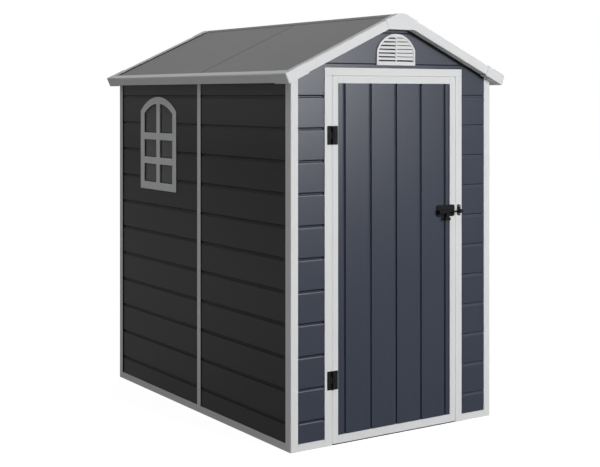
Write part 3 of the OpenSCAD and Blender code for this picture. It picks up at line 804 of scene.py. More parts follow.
def pane_blocks(front, back):
    """Six blocks the shape of the panes, between two places on X."""
    floors = [None, LEVEL_BARS[0][1], LEVEL_BARS[1][1]]
    tops = [LEVEL_BARS[0][0], LEVEL_BARS[1][0], None]
    blocks = []
    for side in (-1, 1):
        for foot, top in zip(floors, tops):
            pane = arched_block("pane", PANE_HALF, glass_low.z, PANE_SPRING, WINDOW_CENTRE, PANE_RADIUS,
                                back - front)
            cut(pane, (side * UPRIGHT_BAR / 2, 0, 0), (-side, 0, 0), clear=True)
            if foot:
                cut(pane, (0, 0, foot), (0, 0, -1), clear=True)
            if top:
                cut(pane, (0, 0, top), (0, 0, 1), clear=True)
            blocks.append(on_left_wall(pane, front))
    return blocks


print("panes", 2 * (len(LEVEL_BARS) + 1))

# %% [markdown]
# The panes are carved out of the sash. Where the arch begins, the corners of its outline and of its
# openings are rounded a little, before the fine rounding of all edges.

# %% Window frame
sash = window_block("window_sash", frame_low.x, frame_high.x)
carve(sash, joined("pane_cutter", pane_blocks(frame_low.x - PAST_WALL, frame_high.x + PAST_WALL)))
for spring, half_width in ((WINDOW_SPRING, WINDOW_HALF), (PANE_SPRING, PANE_HALF)):
    round_edge(sash, lambda a, b: abs(a.x - b.x) > 20 * MM and close_to(a.z, spring)
               and abs(abs(a.y - WINDOW_MID) - half_width) < 0.1 * MM, 5 * MM, 4)
dress(soften(sash, 1.8 * MM, 3, angle=60), "root", "frame_plastic", "window_frame")

# %% [markdown]
# Each pane sits in a black rubber seal. The sides of a pane block, without its two ends, become the
# seal when they are given a thickness inwards. Along the rear side of each pane a wider black strip
# paints the shade of the recess, and a gasket closes the joint between the sash and the wall.

# %% Window seals
REVEAL_SHADE_EDGE = 10 * MM
seals = []
for pane in pane_blocks(glass_low.x - 2 * MM, glass_low.x):
    rework(pane, "FACE", lambda middle, normal: abs(normal.x) > 0.9, bpy.ops.mesh.delete, type="FACE")
    rim = pane.modifiers.new("rim", "SOLIDIFY")
    rim.thickness = 4 * MM
    rim.offset = -1
    bpy.ops.object.modifier_apply(modifier=rim.name)
    seals.append(pane)
# Painted shade: a wider black strip along the rear side of each pane stands in for the shade in the recess.
for pane in pane_blocks(glass_low.x - 1.8 * MM, glass_low.x - 0.2 * MM):
    edge = max(corner.co.y for corner in pane.data.vertices)
    seals.append(cut(pane, (0, edge - REVEAL_SHADE_EDGE, 0), (0, -1, 0), clear=True))
gasket = window_block("gasket", frame_low.x + 0.6 * MM, frame_low.x + 5 * MM, 1.6 * MM)
seals.append(carve(gasket, window_block("gasket_cutter")))
dress(outward(joined("window_seals_and_reveal_shade", seals)), "root", "black_hardware", finish=seal_and_shade_rubber)

# %% [markdown]
# The wall behind the window gets its opening, and then all walls get their finish. All boards are
# one bluish slate plastic. The boards of the front and the back show it, and the side boards get a
# darker, neutral copy of it that paints the shade of the side walls.

# %% Window opening in the wall
carve(wall_pieces["wall_left_back"], window_block("opening"))
for node, piece in wall_pieces.items():
    # Painted shade: the side walls take the darker, neutral copy of the slate.
    finish = shaded_side_boards if node in SIDE_WALLS else level_boards
    dress(piece, "root", "cladding_plastic", node, finish=finish)

# %% [markdown]
# ## Channels beside the walls
# The rails hold the panels in channels, and thin black upright strips paint the shade inside them.
# The painted shade shows as a notch where a groove runs into a rail, and as a line where a panel
# stops short of a jamb, a post or a joining strip. A dark line in the finish would be simpler, but
# would lie on the face.

# %% Channel shade strips
# Painted shade: each strip is a thin black sheet standing where the channels hold only shade.
SHADE_STRIP = 1.6 * MM
SHADE_STRIP_SET = 7.8 * MM
SHADE_STRIP_DEPTH = 14 * MM
JAMB_SHADE_STRIPS = ((JOINT, 0.8 * MM), (6.5 * MM, 3 * MM))
SHADE_STRIP_TOP = 1.8
channel_shade_strips = []


def upright_shade_strip(x_ends, y_ends, foot, top):
    """Adds a thin upright strip to the black strips that paint the shade in the channels."""
    x_ends, y_ends = sorted(x_ends), sorted(y_ends)
    strip = block("seal", (x_ends[0], y_ends[0], foot), (x_ends[1], y_ends[1], top))
    channel_shade_strips.append(strip)
    return strip


for node in SIDE_WALLS:
    low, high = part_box(node)
    x_ends = (low.x + SHADE_STRIP_SET, high.x - MM) if low.x < 0 else (low.x + MM, high.x - SHADE_STRIP_SET)
    width = JOINT if node.endswith("_back") else SHADE_STRIP
    for y_ends in ((low.y, low.y + SHADE_STRIP), (high.y - width, high.y)):
        upright_shade_strip(x_ends, y_ends, low.z, high.z - 12 * MM)
for node in ("wall_front_left", "wall_front_right", "wall_back_left", "wall_back_right"):
    low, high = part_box(node)
    y_low, y_high = (low.y + SHADE_STRIP_SET, high.y - MM) if low.y < 0 else (low.y + MM, high.y - SHADE_STRIP_SET)
    for x, side in ((low.x, 1), (high.x, -1)):
        shade_strip_lines = [(SHADE_STRIP, y_low - low.y)]
        if "front" in node and abs(x) < abs(low.x + high.x) / 2:
            shade_strip_lines = JAMB_SHADE_STRIPS
        for width, set_back in shade_strip_lines:
            upright_shade_strip((x, x + side * width), (low.y + set_back, y_high), low.z, min(high.z, SHADE_STRIP_TOP))
strip_low, strip_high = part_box("joint_strips")
side_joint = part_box("wall_left_front")[1].y
side_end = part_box("wall_left_back")[1].y
for s in (-1, 1):
    for y, width, proud in ((side_joint, 2.6 * MM, strip_high.x - 0.4 * MM), (side_end, 4 * MM, SIDE)):
        under_roof(upright_shade_strip((s * (SIDE - SHADE_STRIP_DEPTH), s * proud), (y - width, y), RAIL_TOP, APEX))
rubber(joined("channel_shade_strips", channel_shade_strips))

# %% [markdown]
# ## Rails and posts
# The frame is extruded plastic with rounded edges. A bevel of a few millimetres on the outer edge
# and a finer one on the rest make the light run along each piece. A sharp box would look cut from
# card.

# %% Corner posts
POST_ROUND = 4.2 * MM


def bar(name, low, high, rounding=1.6 * MM):
    """A straight bar with all its edges rounded."""
    return soften(block(name, low, high), rounding, 3)


def corner_post(node):
    """A corner post with a wide rounding on its outer edge."""
    low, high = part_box(node)
    piece = block(node + "_profile", low, high)
    outer = {axis: low[axis] if low[axis] < 0 else high[axis] for axis in (0, 1)}
    return soften(under_roof(round_line(piece, outer, POST_ROUND)), 1.2 * MM, 2)


for node in ("post_front_left", "post_front_right", "post_back_left", "post_back_right"):
    dress(corner_post(node), "root", "frame_plastic", node)

# %% [markdown]
# The base rails run between the posts and stop at the doorway. They are five bars joined into one
# piece, because one node of the construction model holds them all.

# %% Base rails
POST_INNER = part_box("post_front_right")[0].x
POST = SIDE - POST_INNER
JAMB_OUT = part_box("door_jamb_right")[1].x
FRONT_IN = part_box("post_front_left")[1].y
BACK_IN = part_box("post_back_left")[0].y
rails = [bar("back_rail", (-POST_INNER, BACK_IN, 0), (POST_INNER, BACK, RAIL_TOP))]
for x in (-SIDE, POST_INNER):
    rails.append(bar("side_rail", (x, FRONT_IN, 0), (x + POST, BACK_IN, RAIL_TOP)))
for x_low, x_high in ((-POST_INNER, -JAMB_OUT), (JAMB_OUT, POST_INNER)):
    rails.append(bar("front_rail", (x_low, FRONT, 0), (x_high, FRONT_IN, RAIL_TOP)))
dress(joined("base_rail_profiles", rails), "root", "frame_plastic", "base_rails")

# %% [markdown]
# Where two panels of a wall meet, an H-section strip holds their edges. Only its outer and inner
# faces show, so each strip is one bar, cut off under the roof.

# %% Joining strips
STRIP_DEEP = 23 * MM
ABOVE_ROOF = 100 * MM
side_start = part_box("wall_left_back")[0].y
back_half = max(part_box("wall_back_right")[0].x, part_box("wall_back_left")[0].x)
strips = []
for x in (strip_low.x, strip_high.x - STRIP_DEEP):
    strips.append(bar("side_strip", (x, side_joint, RAIL_TOP), (x + STRIP_DEEP, side_start, APEX)))
strips.append(bar("back_strip", (-back_half, strip_high.y - STRIP_DEEP, RAIL_TOP),
                  (back_half, strip_high.y, APEX + ABOVE_ROOF)))
dress(under_roof(joined("joint_strip_profiles", strips)), "root", "frame_plastic", "joint_strips")

# %% [markdown]
# ## Doorway
# Each jamb carries a stop behind the leaf. The stop is pulled out of the jamb's inner face behind a
# cut, which makes the rebate that the leaf closes into.

# %% Jambs
JAMB = 43 * MM
STOP = 15 * MM
STOP_FACE = FRONT + 37 * MM


def jamb(node, side):
    """A door jamb with its stop. Side is -1 on the left and 1 on the right."""
    low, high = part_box(node)
    ends = sorted((side * (JAMB_OUT - JAMB), side * JAMB_OUT))
    piece = block(node + "_profile", (ends[0], low.y, low.z), (ends[1], high.y, high.z))
    cut(piece, (0, STOP_FACE, 0), (0, 1, 0))
    cut(piece, (0, 0, FLOOR_TOP), (0, 0, 1))
    pull(piece, lambda middle, normal: normal.x * side < -0.9 and middle.y > STOP_FACE
         and middle.z > FLOOR_TOP, (-side * STOP, 0, 0))
    return soften(piece, 1.5 * MM, 3)


for node, s in (("door_jamb_left", -1), ("door_jamb_right", 1)):
    dress(jamb(node, s), "root", "frame_plastic", node)

# %% [markdown]
# The head closes the doorway above in the same way. Its stop is only as wide as the space between
# the stops of the two jambs.

# %% Head
stop_edge = JAMB_OUT - JAMB - STOP
head_low, head_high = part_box("door_head")
head = block("door_head_profile", (head_low.x, FRONT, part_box("door_jamb_left")[1].z), head_high)
cut(head, (0, STOP_FACE, 0), (0, 1, 0))
for s in (-1, 1):
    cut(head, (s * stop_edge, 0, 0), (1, 0, 0))
pull(head, lambda middle, normal: normal.z < -0.9 and middle.y > STOP_FACE and abs(middle.x) < stop_edge,
     (0, 0, -STOP))
dress(soften(head, 1.5 * MM, 3), "root", "frame_plastic", "door_head")

# %% [markdown]
# ## Door leaf
# The leaf is a light frame round a panel. Two stiles and two rails are plain bars, a little more
# rounded than the panel that they hold.

# %% Leaf frame
for node in ("door_stile_left", "door_stile_right", "door_top_rail", "door_bottom_rail"):
    dress(bar(node + "_profile", *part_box(node), 1.5 * MM), "door", "frame_plastic", node)

# %% [markdown]
# The panel has five upright grooves, pressed in as on the walls: a slope down, a floor, and a deep
# slot beside it. It stops short of the right stile, and a black strip in the joint paints the shade
# there. A strip of the same rubber hangs under the leaf and paints the shadow in the gap to the floor.

# %% Leaf panel
GROOVE_PITCH = 160 * MM
LEAF_GROOVE = ((-8.5, 0.0), (0.0, 3.6), (5.8, 5.0), (6.2, 9.0), (9.2, 9.0), (10.0, 0.0))
EDGE_GAP = 5 * MM
low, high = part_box("door_panel")
leaf_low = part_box("door_stile_left")[0]
leaf_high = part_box("door_stile_right")[1]
leaf_panel = block("door_panel_boards", low, (high.x - EDGE_GAP, high.y, high.z))
grooved(leaf_panel, 0, [k * GROOVE_PITCH for k in range(-2, 3)], LEAF_GROOVE, 1, low.y, (0, -1))
dress(leaf_panel, "door", "cladding_plastic", "door_panel", finish=upright_boards)
# Painted shade: one black strip fills the joint beside the right stile, and another hangs under the leaf in place
# of the shadow in the gap to the floor.
edge_shade_strip = block("panel_shade_strips", (high.x - EDGE_GAP - MM, low.y + MM, low.z), (high.x, high.y - MM, high.z))
gap_shadow_strip = block("door_gap_shadow_strip", (leaf_low.x + MM, FRONT + 2 * MM, 0.8 * MM),
              (leaf_high.x - MM, low.y + 12 * MM, leaf_low.z + 0.5 * MM))
rubber(joined("panel_shade_strips", [edge_shade_strip, gap_shadow_strip]), "door")

# %% [markdown]
# Round three edges of the leaf runs a light lip that nearly fills the gap to the jambs. It lies a
# little behind the face, so that the joint shows as a fine line.

# %% Leaf lips
LIP_BACK = FRONT + 9 * MM
LIP_FOOT = leaf_low.z + 2 * MM
lips = []
for x_low, x_high, set_back, foot, top in (
        (leaf_low.x - 4 * MM, leaf_low.x + MM, 1.6 * MM, LIP_FOOT, leaf_high.z),
        (leaf_high.x - MM, leaf_high.x + 5.2 * MM, 0.8 * MM, LIP_FOOT, leaf_high.z),
        (leaf_low.x, leaf_high.x, MM, leaf_high.z - MM, leaf_high.z + 4.4 * MM)):
    lips.append(block("lip", (x_low, FRONT + set_back, foot), (x_high, LIP_BACK, top)))
dress(soften(joined("leaf_lips", lips), 0.8 * MM, 2), "door", "frame_plastic")

# %% [markdown]
# ## Gable vent
# The vent is a white moulding with two columns of louvres under an arch. The slats slope down and
# outwards so that rain runs off. They are made straight, tilted by pulling their lower edges forward,
# and then trimmed to the arch. A dark fly screen closes the back.

# %% Vent measures
vent_low, vent_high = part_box("gable_vent")
VENT_HALF = vent_high.x
VENT_SPRING = vent_low.z + 75 * MM
VENT_RADIUS = arch_radius(VENT_HALF, vent_high.z - VENT_SPRING)
VENT_RIM = 12 * MM
VENT_BAND = 20 * MM
LOUVRE_STEP = 19 * MM
LOUVRE_HALF = VENT_HALF - VENT_RIM
LOUVRE_TOP = vent_high.z - VENT_RIM
LOUVRE_RADIUS = arch_radius(LOUVRE_HALF, LOUVRE_TOP - VENT_SPRING)


def louvre_arch(name, front, thick, grow=0.0):
    """The arched opening of the vent as a block. Grow makes it a little larger all round."""
    piece = arched_block(name, LOUVRE_HALF + grow, vent_low.z + VENT_BAND - grow, VENT_SPRING,
                         LOUVRE_TOP - LOUVRE_RADIUS, LOUVRE_RADIUS + grow, thick)
    piece.location.y = front
    bpy.ops.object.transform_apply(location=True, rotation=True, scale=True)
    return piece


print("vent", round(2 * VENT_HALF, 3), "m wide, louvre arch", round(LOUVRE_RADIUS, 3), "m")

# %% [markdown]
# The rim is one arched block with its opening carved out. It sits at the face of the gable.

# %% Vent rim
PAST_VENT = 10 * MM
vent = arched_block("gable_vent_moulding", VENT_HALF, vent_low.z, VENT_SPRING, vent_high.z - VENT_RADIUS,
                    VENT_RADIUS, vent_high.y - vent_low.y)
vent.location.y = vent_low.y
work_on(vent)
bpy.ops.object.transform_apply(location=True, rotation=True, scale=True)
carve(vent, louvre_arch("louvre_cutter", vent_low.y - PAST_VENT, 3 * PAST_VENT))
soften(vent, 1.6 * MM, 3, angle=60)
print("vent rim", len(vent.data.polygons), "faces")

# %% [markdown]
# The slats of the right column are a little taller than those of the left one. An intersection with
# the arch trims each slat, and one that lies wholly outside it goes away.

# %% Louvres
SLAT_FRONT = vent_low.y + 3.4 * MM
SLAT_BACK = vent_low.y + 5.2 * MM
SLAT_LEAN = 2.9 * MM
slats = []
slat_foot = vent_low.z + VENT_BAND + 7 * MM
while slat_foot < LOUVRE_TOP:
    for x_low, x_high, tall in ((-LOUVRE_HALF - MM, -3 * MM, 12.5 * MM),
                                (3 * MM, LOUVRE_HALF + MM, 15.5 * MM)):
        slat = block("slat", (x_low, SLAT_FRONT, slat_foot), (x_high, SLAT_BACK, slat_foot + tall))
        slats.append(rework(slat, "FACE", lambda middle, normal: normal.z < -0.9,
                            bpy.ops.transform.translate, value=(0, -SLAT_LEAN, 0)))
    slat_foot += LOUVRE_STEP
slats.append(block("middle_bar", (-4 * MM, vent_low.y + 0.3 * MM, vent_low.z + VENT_BAND - MM),
                   (4 * MM, vent_low.y + 6 * MM, LOUVRE_TOP + MM)))
trimmed = []
for slat in slats:
    trim = louvre_arch("slat_trim", vent_low.y - PAST_VENT, 3 * PAST_VENT, 0.8 * MM)
    carve(slat, trim, "INTERSECT")
    if len(slat.data.polygons):
        trimmed.append(soften(slat, 0.6 * MM, 2))
    else:
        bpy.data.objects.remove(slat)
dress(joined("gable_vent_moulding", [vent] + trimmed), "root", "frame_plastic", "gable_vent")
rubber(louvre_arch("vent_screen", vent_high.y - 1.4 * MM, 1.2 * MM, 0.5 * MM))
print("slats", len(trimmed))

# %% [markdown]
# ## Roof
# Roof pieces are made level, as if the right slope were flat, and then tilted together about the
# ridge line. In that level frame X runs down the slope and Z stands square to it, so every piece
# is a plain block or an L section. The left slope is a mirrored copy.

# %% Slope helper
RIDGE = APEX - 18 * MM / math.cos(PITCH)
SLOPE = (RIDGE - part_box("eave_trim_right")[0].z) / math.sin(PITCH)
RAKE = -MIDDLE.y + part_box("rake_trims_front")[0].y
TRIM = 8 * MM
FLANGE = 40 * MM
FLANGE_LOW = 38 * MM
TRIM_HIGH = 48 * MM
CAP = 125 * MM
PROUD = 1.5 * MM
SOFFIT = 4 * MM
RAKE_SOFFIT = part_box("rake_trims_front")[1].y - RAKE
EAVE_SOFFIT = SLOPE - (SIDE + 6 * MM) / math.cos(PITCH)
print("slope", round(SLOPE, 4), "ridge", round(RIDGE, 4), "rake", round(RAKE, 4))


def level_block(name, low, high):
    """A block in the level frame of the right slope."""
    return block(name, (low[0], low[1], RIDGE + low[2]), (high[0], high[1], RIDGE + high[2]))


def tilt(piece):
    """Tilts a level piece down the right slope."""
    pick(piece, "FACE", lambda middle, normal: True)
    bpy.ops.transform.rotate(value=-PITCH, orient_axis="Y", center_override=(0, 0, RIDGE))
    bpy.ops.object.mode_set(mode="OBJECT")
    return piece


# %% [markdown]
# The edge trims are L sections: a face that hangs down, and a flange that lies on the roof. A block
# makes the face, and the flange and the soffit at its foot are pulled out of its inner side between
# cuts. The outer edge is rounded wide.

# %% Edge trims
APEX_CAP = 88 * MM
TRIM_ROUND = 7 * MM


def edge_trim(name, low, high, axis, inward, soffit):
    """A trim in the level frame. Axis and inward say which way its flange and its soffit reach."""
    piece = level_block(name, low, high)
    for height, reach, upper in ((RIDGE + FLANGE_LOW, FLANGE, True), (RIDGE + SOFFIT, soffit, False)):
        cut(piece, (0, 0, height), (0, 0, 1))
        step = [0, 0, 0]
        step[axis] = inward * (reach - TRIM)
        pull(piece, lambda middle, normal: normal[axis] * inward > 0.9 and (middle.z > height) == upper, step)
    outer = low[axis] if inward > 0 else high[axis]
    round_line(piece, {axis: outer, 2: RIDGE + TRIM_HIGH}, TRIM_ROUND)
    return tilt(soften(piece, 0.8 * MM, 2))


rake = edge_trim("rake", (APEX_CAP, RAKE, 0), (SLOPE - CAP, RAKE + TRIM, TRIM_HIGH), 1, 1, RAKE_SOFFIT)
front_rakes = joined("rake_trim_profiles_front", [rake, mirrored(rake, "rake_left")])
back_rakes = mirrored(front_rakes, "rake_trim_profiles_back", 1)
eave = edge_trim("eave_trim_right_profile", (SLOPE - TRIM, RAKE + CAP, 0), (SLOPE, -RAKE - CAP, TRIM_HIGH),
                 0, -1, EAVE_SOFFIT)
eave_left = mirrored(eave, "eave_trim_left_profile")
trims = {"rake_trims_front": front_rakes, "rake_trims_back": back_rakes,
         "eave_trim_right": eave, "eave_trim_left": eave_left}
for node, piece in trims.items():
    dress(piece, "root", "frame_plastic", node)

# %% [markdown]
# The corner caps cover the ends of two trims. The plate on top grows out of the corner block in two
# directions, and the two outer faces are pulled down from strips along its edges. The soffit is a
# second L, made in the same way.

# %% Corner caps
corner = level_block("corner", (SLOPE - FLANGE, RAKE - PROUD, FLANGE_LOW),
                     (SLOPE + PROUD, RAKE + FLANGE, TRIM_HIGH + PROUD))
pull(corner, lambda middle, normal: normal.x < -0.9, (FLANGE - CAP, 0, 0))
pull(corner, lambda middle, normal: normal.y > 0.9 and middle.x > SLOPE - FLANGE, (0, CAP - FLANGE, 0))
cut(corner, (SLOPE - TRIM, 0, 0), (1, 0, 0))
cut(corner, (0, RAKE + TRIM, 0), (0, 1, 0))
pull(corner, lambda middle, normal: normal.z < -0.9 and (middle.x > SLOPE - TRIM or middle.y < RAKE + TRIM),
     (0, 0, -FLANGE_LOW - 5 * MM))
round_line(corner, {0: SLOPE + PROUD, 1: RAKE - PROUD}, TRIM_ROUND)
soften(corner, 2.2 * MM, 3)
under = level_block("corner_soffit", (SLOPE - EAVE_SOFFIT, RAKE + MM, -4.8 * MM),
                    (SLOPE - MM, RAKE + RAKE_SOFFIT, SOFFIT - 5 * MM))
pull(under, lambda middle, normal: normal.x < -0.9, (EAVE_SOFFIT - CAP, 0, 0))
pull(under, lambda middle, normal: normal.y > 0.9 and middle.x > SLOPE - EAVE_SOFFIT,
     (0, CAP - RAKE_SOFFIT, 0))
corner = tilt(joined("corner", [corner, soften(under, 0.6 * MM, 2)]))
front_corners = joined("front_corners", [corner, mirrored(corner, "corner_left")])
corners = joined("corner_cap_mouldings", [front_corners, mirrored(front_corners, "back_corners", 1)])
dress(corners, "root", "frame_plastic", "corner_caps")

# %% [markdown]
# The apex cap and the ridge strip cross the ridge. One arm is made on the right slope and cut off
# upright at the middle, its mirrored copy is joined to it, and the seam is merged.

# %% Apex caps
def across_ridge(piece, name):
    """Makes a tilted arm into a piece that crosses the ridge."""
    cut(piece, (0, 0, 0), (-1, 0, 0), clear=True, fill=False)
    return outward(joined(name, [piece, mirrored(piece, name + "_left")]))


arm = APEX_CAP * math.cos(PITCH)
arm_foot = RIDGE - APEX_CAP * math.sin(PITCH)
down = (math.cos(PITCH), 0, -math.sin(PITCH))
square = (math.sin(PITCH), 0, math.cos(PITCH))
crown = RIDGE + (TRIM_HIGH + PROUD) / math.cos(PITCH)
flange_line = RIDGE + FLANGE_LOW / math.cos(PITCH)
apex = block("apex", (-10 * MM, RAKE - PROUD, arm_foot), (arm + 60 * MM, RAKE + TRIM, RIDGE + 90 * MM))
cut(apex, (0, 0, crown), square, clear=True)
cut(apex, (arm, 0, arm_foot), down, clear=True)
cut(apex, (0, 0, flange_line), square)
pull(apex, lambda middle, normal: normal.y > 0.9 and middle.z > flange_line - middle.x * math.tan(PITCH),
     (0, FLANGE - TRIM, 0))
cut(apex, (0, 0, arm_foot + SOFFIT), (0, 0, 1))
pull(apex, lambda middle, normal: normal.y > 0.9 and middle.z < arm_foot + SOFFIT, (0, RAKE_SOFFIT - TRIM, 0))
apex = round_line(across_ridge(apex, "apex_front"), {0: 0, 2: crown}, 36 * MM, 12)
soften(apex, 2 * MM, 3)
apexes = joined("apex_cap_mouldings", [apex, mirrored(apex, "apex_back", 1)])
dress(apexes, "root", "frame_plastic", "apex_caps")

# %% [markdown]
# A thin black strip at the joint between the soffit and the boards of the gable paints the shadow line under the
# soffit.

# %% Gable shadow strips
# Painted shadow: the strip is as tall as the shadow line under the soffit.
SOFFIT_SHADOW = 12 * MM
board_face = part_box("gable_front")[0].y
SOFFIT_SHADOW_Y = (board_face - 1.6 * MM, board_face + MM)
foam = tilt(level_block("foam", (APEX_CAP, SOFFIT_SHADOW_Y[0], -SOFFIT_SHADOW), (POST_INNER / math.cos(PITCH), SOFFIT_SHADOW_Y[1], 0)))
level_foam = block("foam_level", (-arm, SOFFIT_SHADOW_Y[0], arm_foot - 4 * MM), (arm, SOFFIT_SHADOW_Y[1], arm_foot))
rubber(joined("gable_shadow_strips", [foam, mirrored(foam, "foam_left"), level_foam]), "root", 0.5 * MM, 2)

# %% [markdown]
# The ridge strip is a thin angle of roof plastic that laps over both slopes. Its lower edges are
# rounded so wide that they fade into the panels.

# %% Ridge strip
ridge_low, ridge_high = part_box("ridge_strip")
STRIP_ARM = 15 * MM
STRIP_TOP = FLANGE_LOW + 3 * MM
strip = level_block("ridge_strip_profile", (-40 * MM, ridge_low.y, FLANGE_LOW - MM),
                    (STRIP_ARM, ridge_high.y, STRIP_TOP))
round_line(strip, {0: STRIP_ARM, 2: RIDGE + STRIP_TOP}, 2.8 * MM, 4)
strip = across_ridge(tilt(strip), "ridge_strip_profile")
dress(soften(strip, 0.5 * MM, 2, angle=20), "root", "roof_plastic", "ridge_strip")

# %% [markdown]
# The roof panels are moulded like the walls. Their undersides have shallow sunk pads that stiffen
# them, which show from inside: the underside is cut in a grid and each cell is inset and pushed in.
# Front and back panel meet at a joint that a rubber strip fills.

# %% Roof panels
ROOF_JOINT = 3.6 * MM
PAD_START = 30 * MM
PAD_ROWS = (0.0, 0.35, 0.68)
PAD_COLUMNS = (0.33, 0.66)
roof_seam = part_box("roof_right_front")[1].y


def roof_panel(node):
    """A roof panel of the right slope with sunk pads below."""
    low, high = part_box(node)
    if node.endswith("_front"):
        high.y = roof_seam - ROOF_JOINT
    else:
        low.y = max(low.y, roof_seam + ROOF_JOINT)
    piece = level_block(node + "_moulding", (-60 * MM, low.y, 18 * MM), (SLOPE - TRIM, high.y, FLANGE_LOW))
    for share in PAD_ROWS:
        cut(piece, (share * SLOPE + PAD_START, 0, 0), (1, 0, 0))
    for share in PAD_COLUMNS:
        cut(piece, (0, low.y + share * (high.y - low.y), 0), (0, 1, 0))
    sink_pads(piece, lambda middle, normal: normal.z < -0.9 and middle.x > PAD_START,
              22 * MM, 4 * MM, 4 * MM)
    cut(tilt(piece), (0, 0, 0), (-1, 0, 0), clear=True)
    return soften(piece, 1.2 * MM, 2)


for end in ("front", "back"):
    right = roof_panel("roof_right_" + end)
    left = mirrored(right, "roof_left_" + end + "_moulding")
    dress(right, "root", "roof_plastic", "roof_right_" + end)
    dress(left, "root", "roof_plastic", "roof_left_" + end)

# %% [markdown]
# The joint's rubber lies nearly flush, so that water doesn't stand in it. A second black strip runs
# along the flange of the rear trims and paints the shadow line there.

# %% Roof seals and shadow strip
flange_edge = -RAKE - FLANGE
seam = tilt(level_block("seam_seal", (ROOF_JOINT, roof_seam - ROOF_JOINT, 20 * MM),
                        (SLOPE - TRIM, roof_seam + ROOF_JOINT, FLANGE_LOW - 0.5 * MM)))
# Painted shadow: a black strip on the roof along the rear flange stands in for the shadow line there.
flange_shadow_strip = tilt(level_block("rear_flange_shadow_strip", (STRIP_ARM, flange_edge - 7 * MM, FLANGE_LOW - MM),
                             (SLOPE - FLANGE, flange_edge + MM, FLANGE_LOW + 4 * MM)))
roof_seals = [seam, flange_shadow_strip, mirrored(seam, "seam_left"), mirrored(flange_shadow_strip, "flange_shadow_left")]
rubber(joined("roof_seam_seal_and_shadow_strip", roof_seals))

# %% [markdown]
# ## Floor and ridge beam
# The floor is a moulded panel with sunk pads between ribs. A tongue is pulled out of its front edge
# and fills the doorway as a threshold.

# %% Floor panel
FLOOR_PADS = 12
low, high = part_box("floor_panel")
floor_board = block("floor_moulding", (low.x, FRONT_IN, low.z), high)
sill_half = head_high.x - JAMB
for x in (-sill_half, sill_half):
    cut(floor_board, (x, 0, 0), (1, 0, 0))
pull(floor_board, lambda middle, normal: normal.y < -0.9 and abs(middle.x) < sill_half,
     (0, low.y - FRONT_IN, 0))
for k in range(1, FLOOR_PADS):
    cut(floor_board, (0, FRONT_IN + k * (high.y - FRONT_IN) / FLOOR_PADS, 0), (0, 1, 0))
sink_pads(floor_board, lambda middle, normal: normal.z > 0.9 and middle.y > FRONT_IN,
          9 * MM, 3 * MM, 2.5 * MM)
dress(soften(floor_board, 0.8 * MM, 2), "root", "floor_plastic", "floor_panel")

# %% [markdown]
# The ridge beam is a folded steel section. Its top follows both slopes, and a channel is pressed
# into each side and into its underside, which stiffens thin sheet.

# %% Ridge beam
low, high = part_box("ridge_beam")
beam = under_roof(block("ridge_beam_section", low, (high.x, high.y, high.z + ABOVE_ROOF / 2)))
sink_pads(beam, lambda middle, normal: abs(normal.x) > 0.9 or normal.z < -0.9, 9 * MM, 3 * MM, 4 * MM)
dress(soften(beam, 0.8 * MM, 2), "root", "beam_metal", "ridge_beam")

# %% [markdown]
# ## Hardware
# Hinges and bolt are pressed steel with a black coat. A plate is a block with rounded corners, a
# knuckle or rod is a cylinder with its rims rounded, and a screw head is a short cylinder with a
# socket sunk in it.

# %% Plates, rods and screws
SCREW_PROUD = 1.1 * MM
SOCKET = 0.8 * MM


def plate(name, low, high, corner):
    """A pressed plate that faces -Y, with round corners."""
    piece = block(name, low, high)
    round_edge(piece, lambda a, b: close_to(a.x, b.x) and close_to(a.z, b.z), corner, 6)
    return soften(piece, 0.7 * MM, 2)


def round_bar(name, start, end, radius, rim=0.6 * MM, sides=40):
    """A cylinder between two points on a line along X, Y or Z, with rounded rims."""
    clear_selection()
    start, end = Vector(start), Vector(end)
    along = end - start
    turn = along.to_track_quat("Z", "Y").to_euler()
    bpy.ops.mesh.primitive_cylinder_add(vertices=sides, radius=radius, depth=along.length,
                                        location=(start + end) / 2, rotation=turn)
    piece = bpy.context.object
    piece.name = name
    bpy.ops.object.transform_apply(location=True, rotation=True, scale=True)
    return soften(piece, rim, 3, angle=60) if rim else piece


def screw(x, z, face, radius=3.8 * MM):
    """A round screw head on a face that looks to -Y."""
    head = round_bar("screw", (x, face, z), (x, face - SCREW_PROUD, z), radius, 0, 24)
    pick(head, "FACE", lambda middle, normal: normal.y < -0.9)
    bpy.ops.mesh.inset(thickness=0.29 * radius, depth=0)
    bpy.ops.mesh.inset(thickness=0.31 * radius, depth=0)
    bpy.ops.mesh.extrude_region_move(TRANSFORM_OT_translate={"value": (0, SOCKET, 0)})
    bpy.ops.object.mode_set(mode="OBJECT")
    return soften(head, 0.3 * MM, 2, angle=60)


print("hardware tools ready")

# %% [markdown]
# A butt hinge has a leaf on the jamb and a leaf on the door. Three knuckles take turns on one pin:
# the jamb's leaf has the outer two and the door's leaf the middle one. A short tab joins each knuckle
# to its leaf. The pin's place is that of the joint, so the door turns about it.

# %% Hinges
PIN = Vector(frame["joints"][0]["pos_m"])
PLATE = 3 * MM
PLATE_FACE = FRONT - PLATE
KNUCKLE = 5 * MM
HINGE_TALL = 92 * MM
HINGE_GAP = 0.6 * MM
SCREW_SHARES = (0.16, 0.5, 0.84)
KNUCKLE_TALL = (HINGE_TALL - 2 * HINGE_GAP) / 3
KNUCKLE_STEP = KNUCKLE_TALL + HINGE_GAP
hinge_low, hinge_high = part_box("hinge_jamb_leaves")


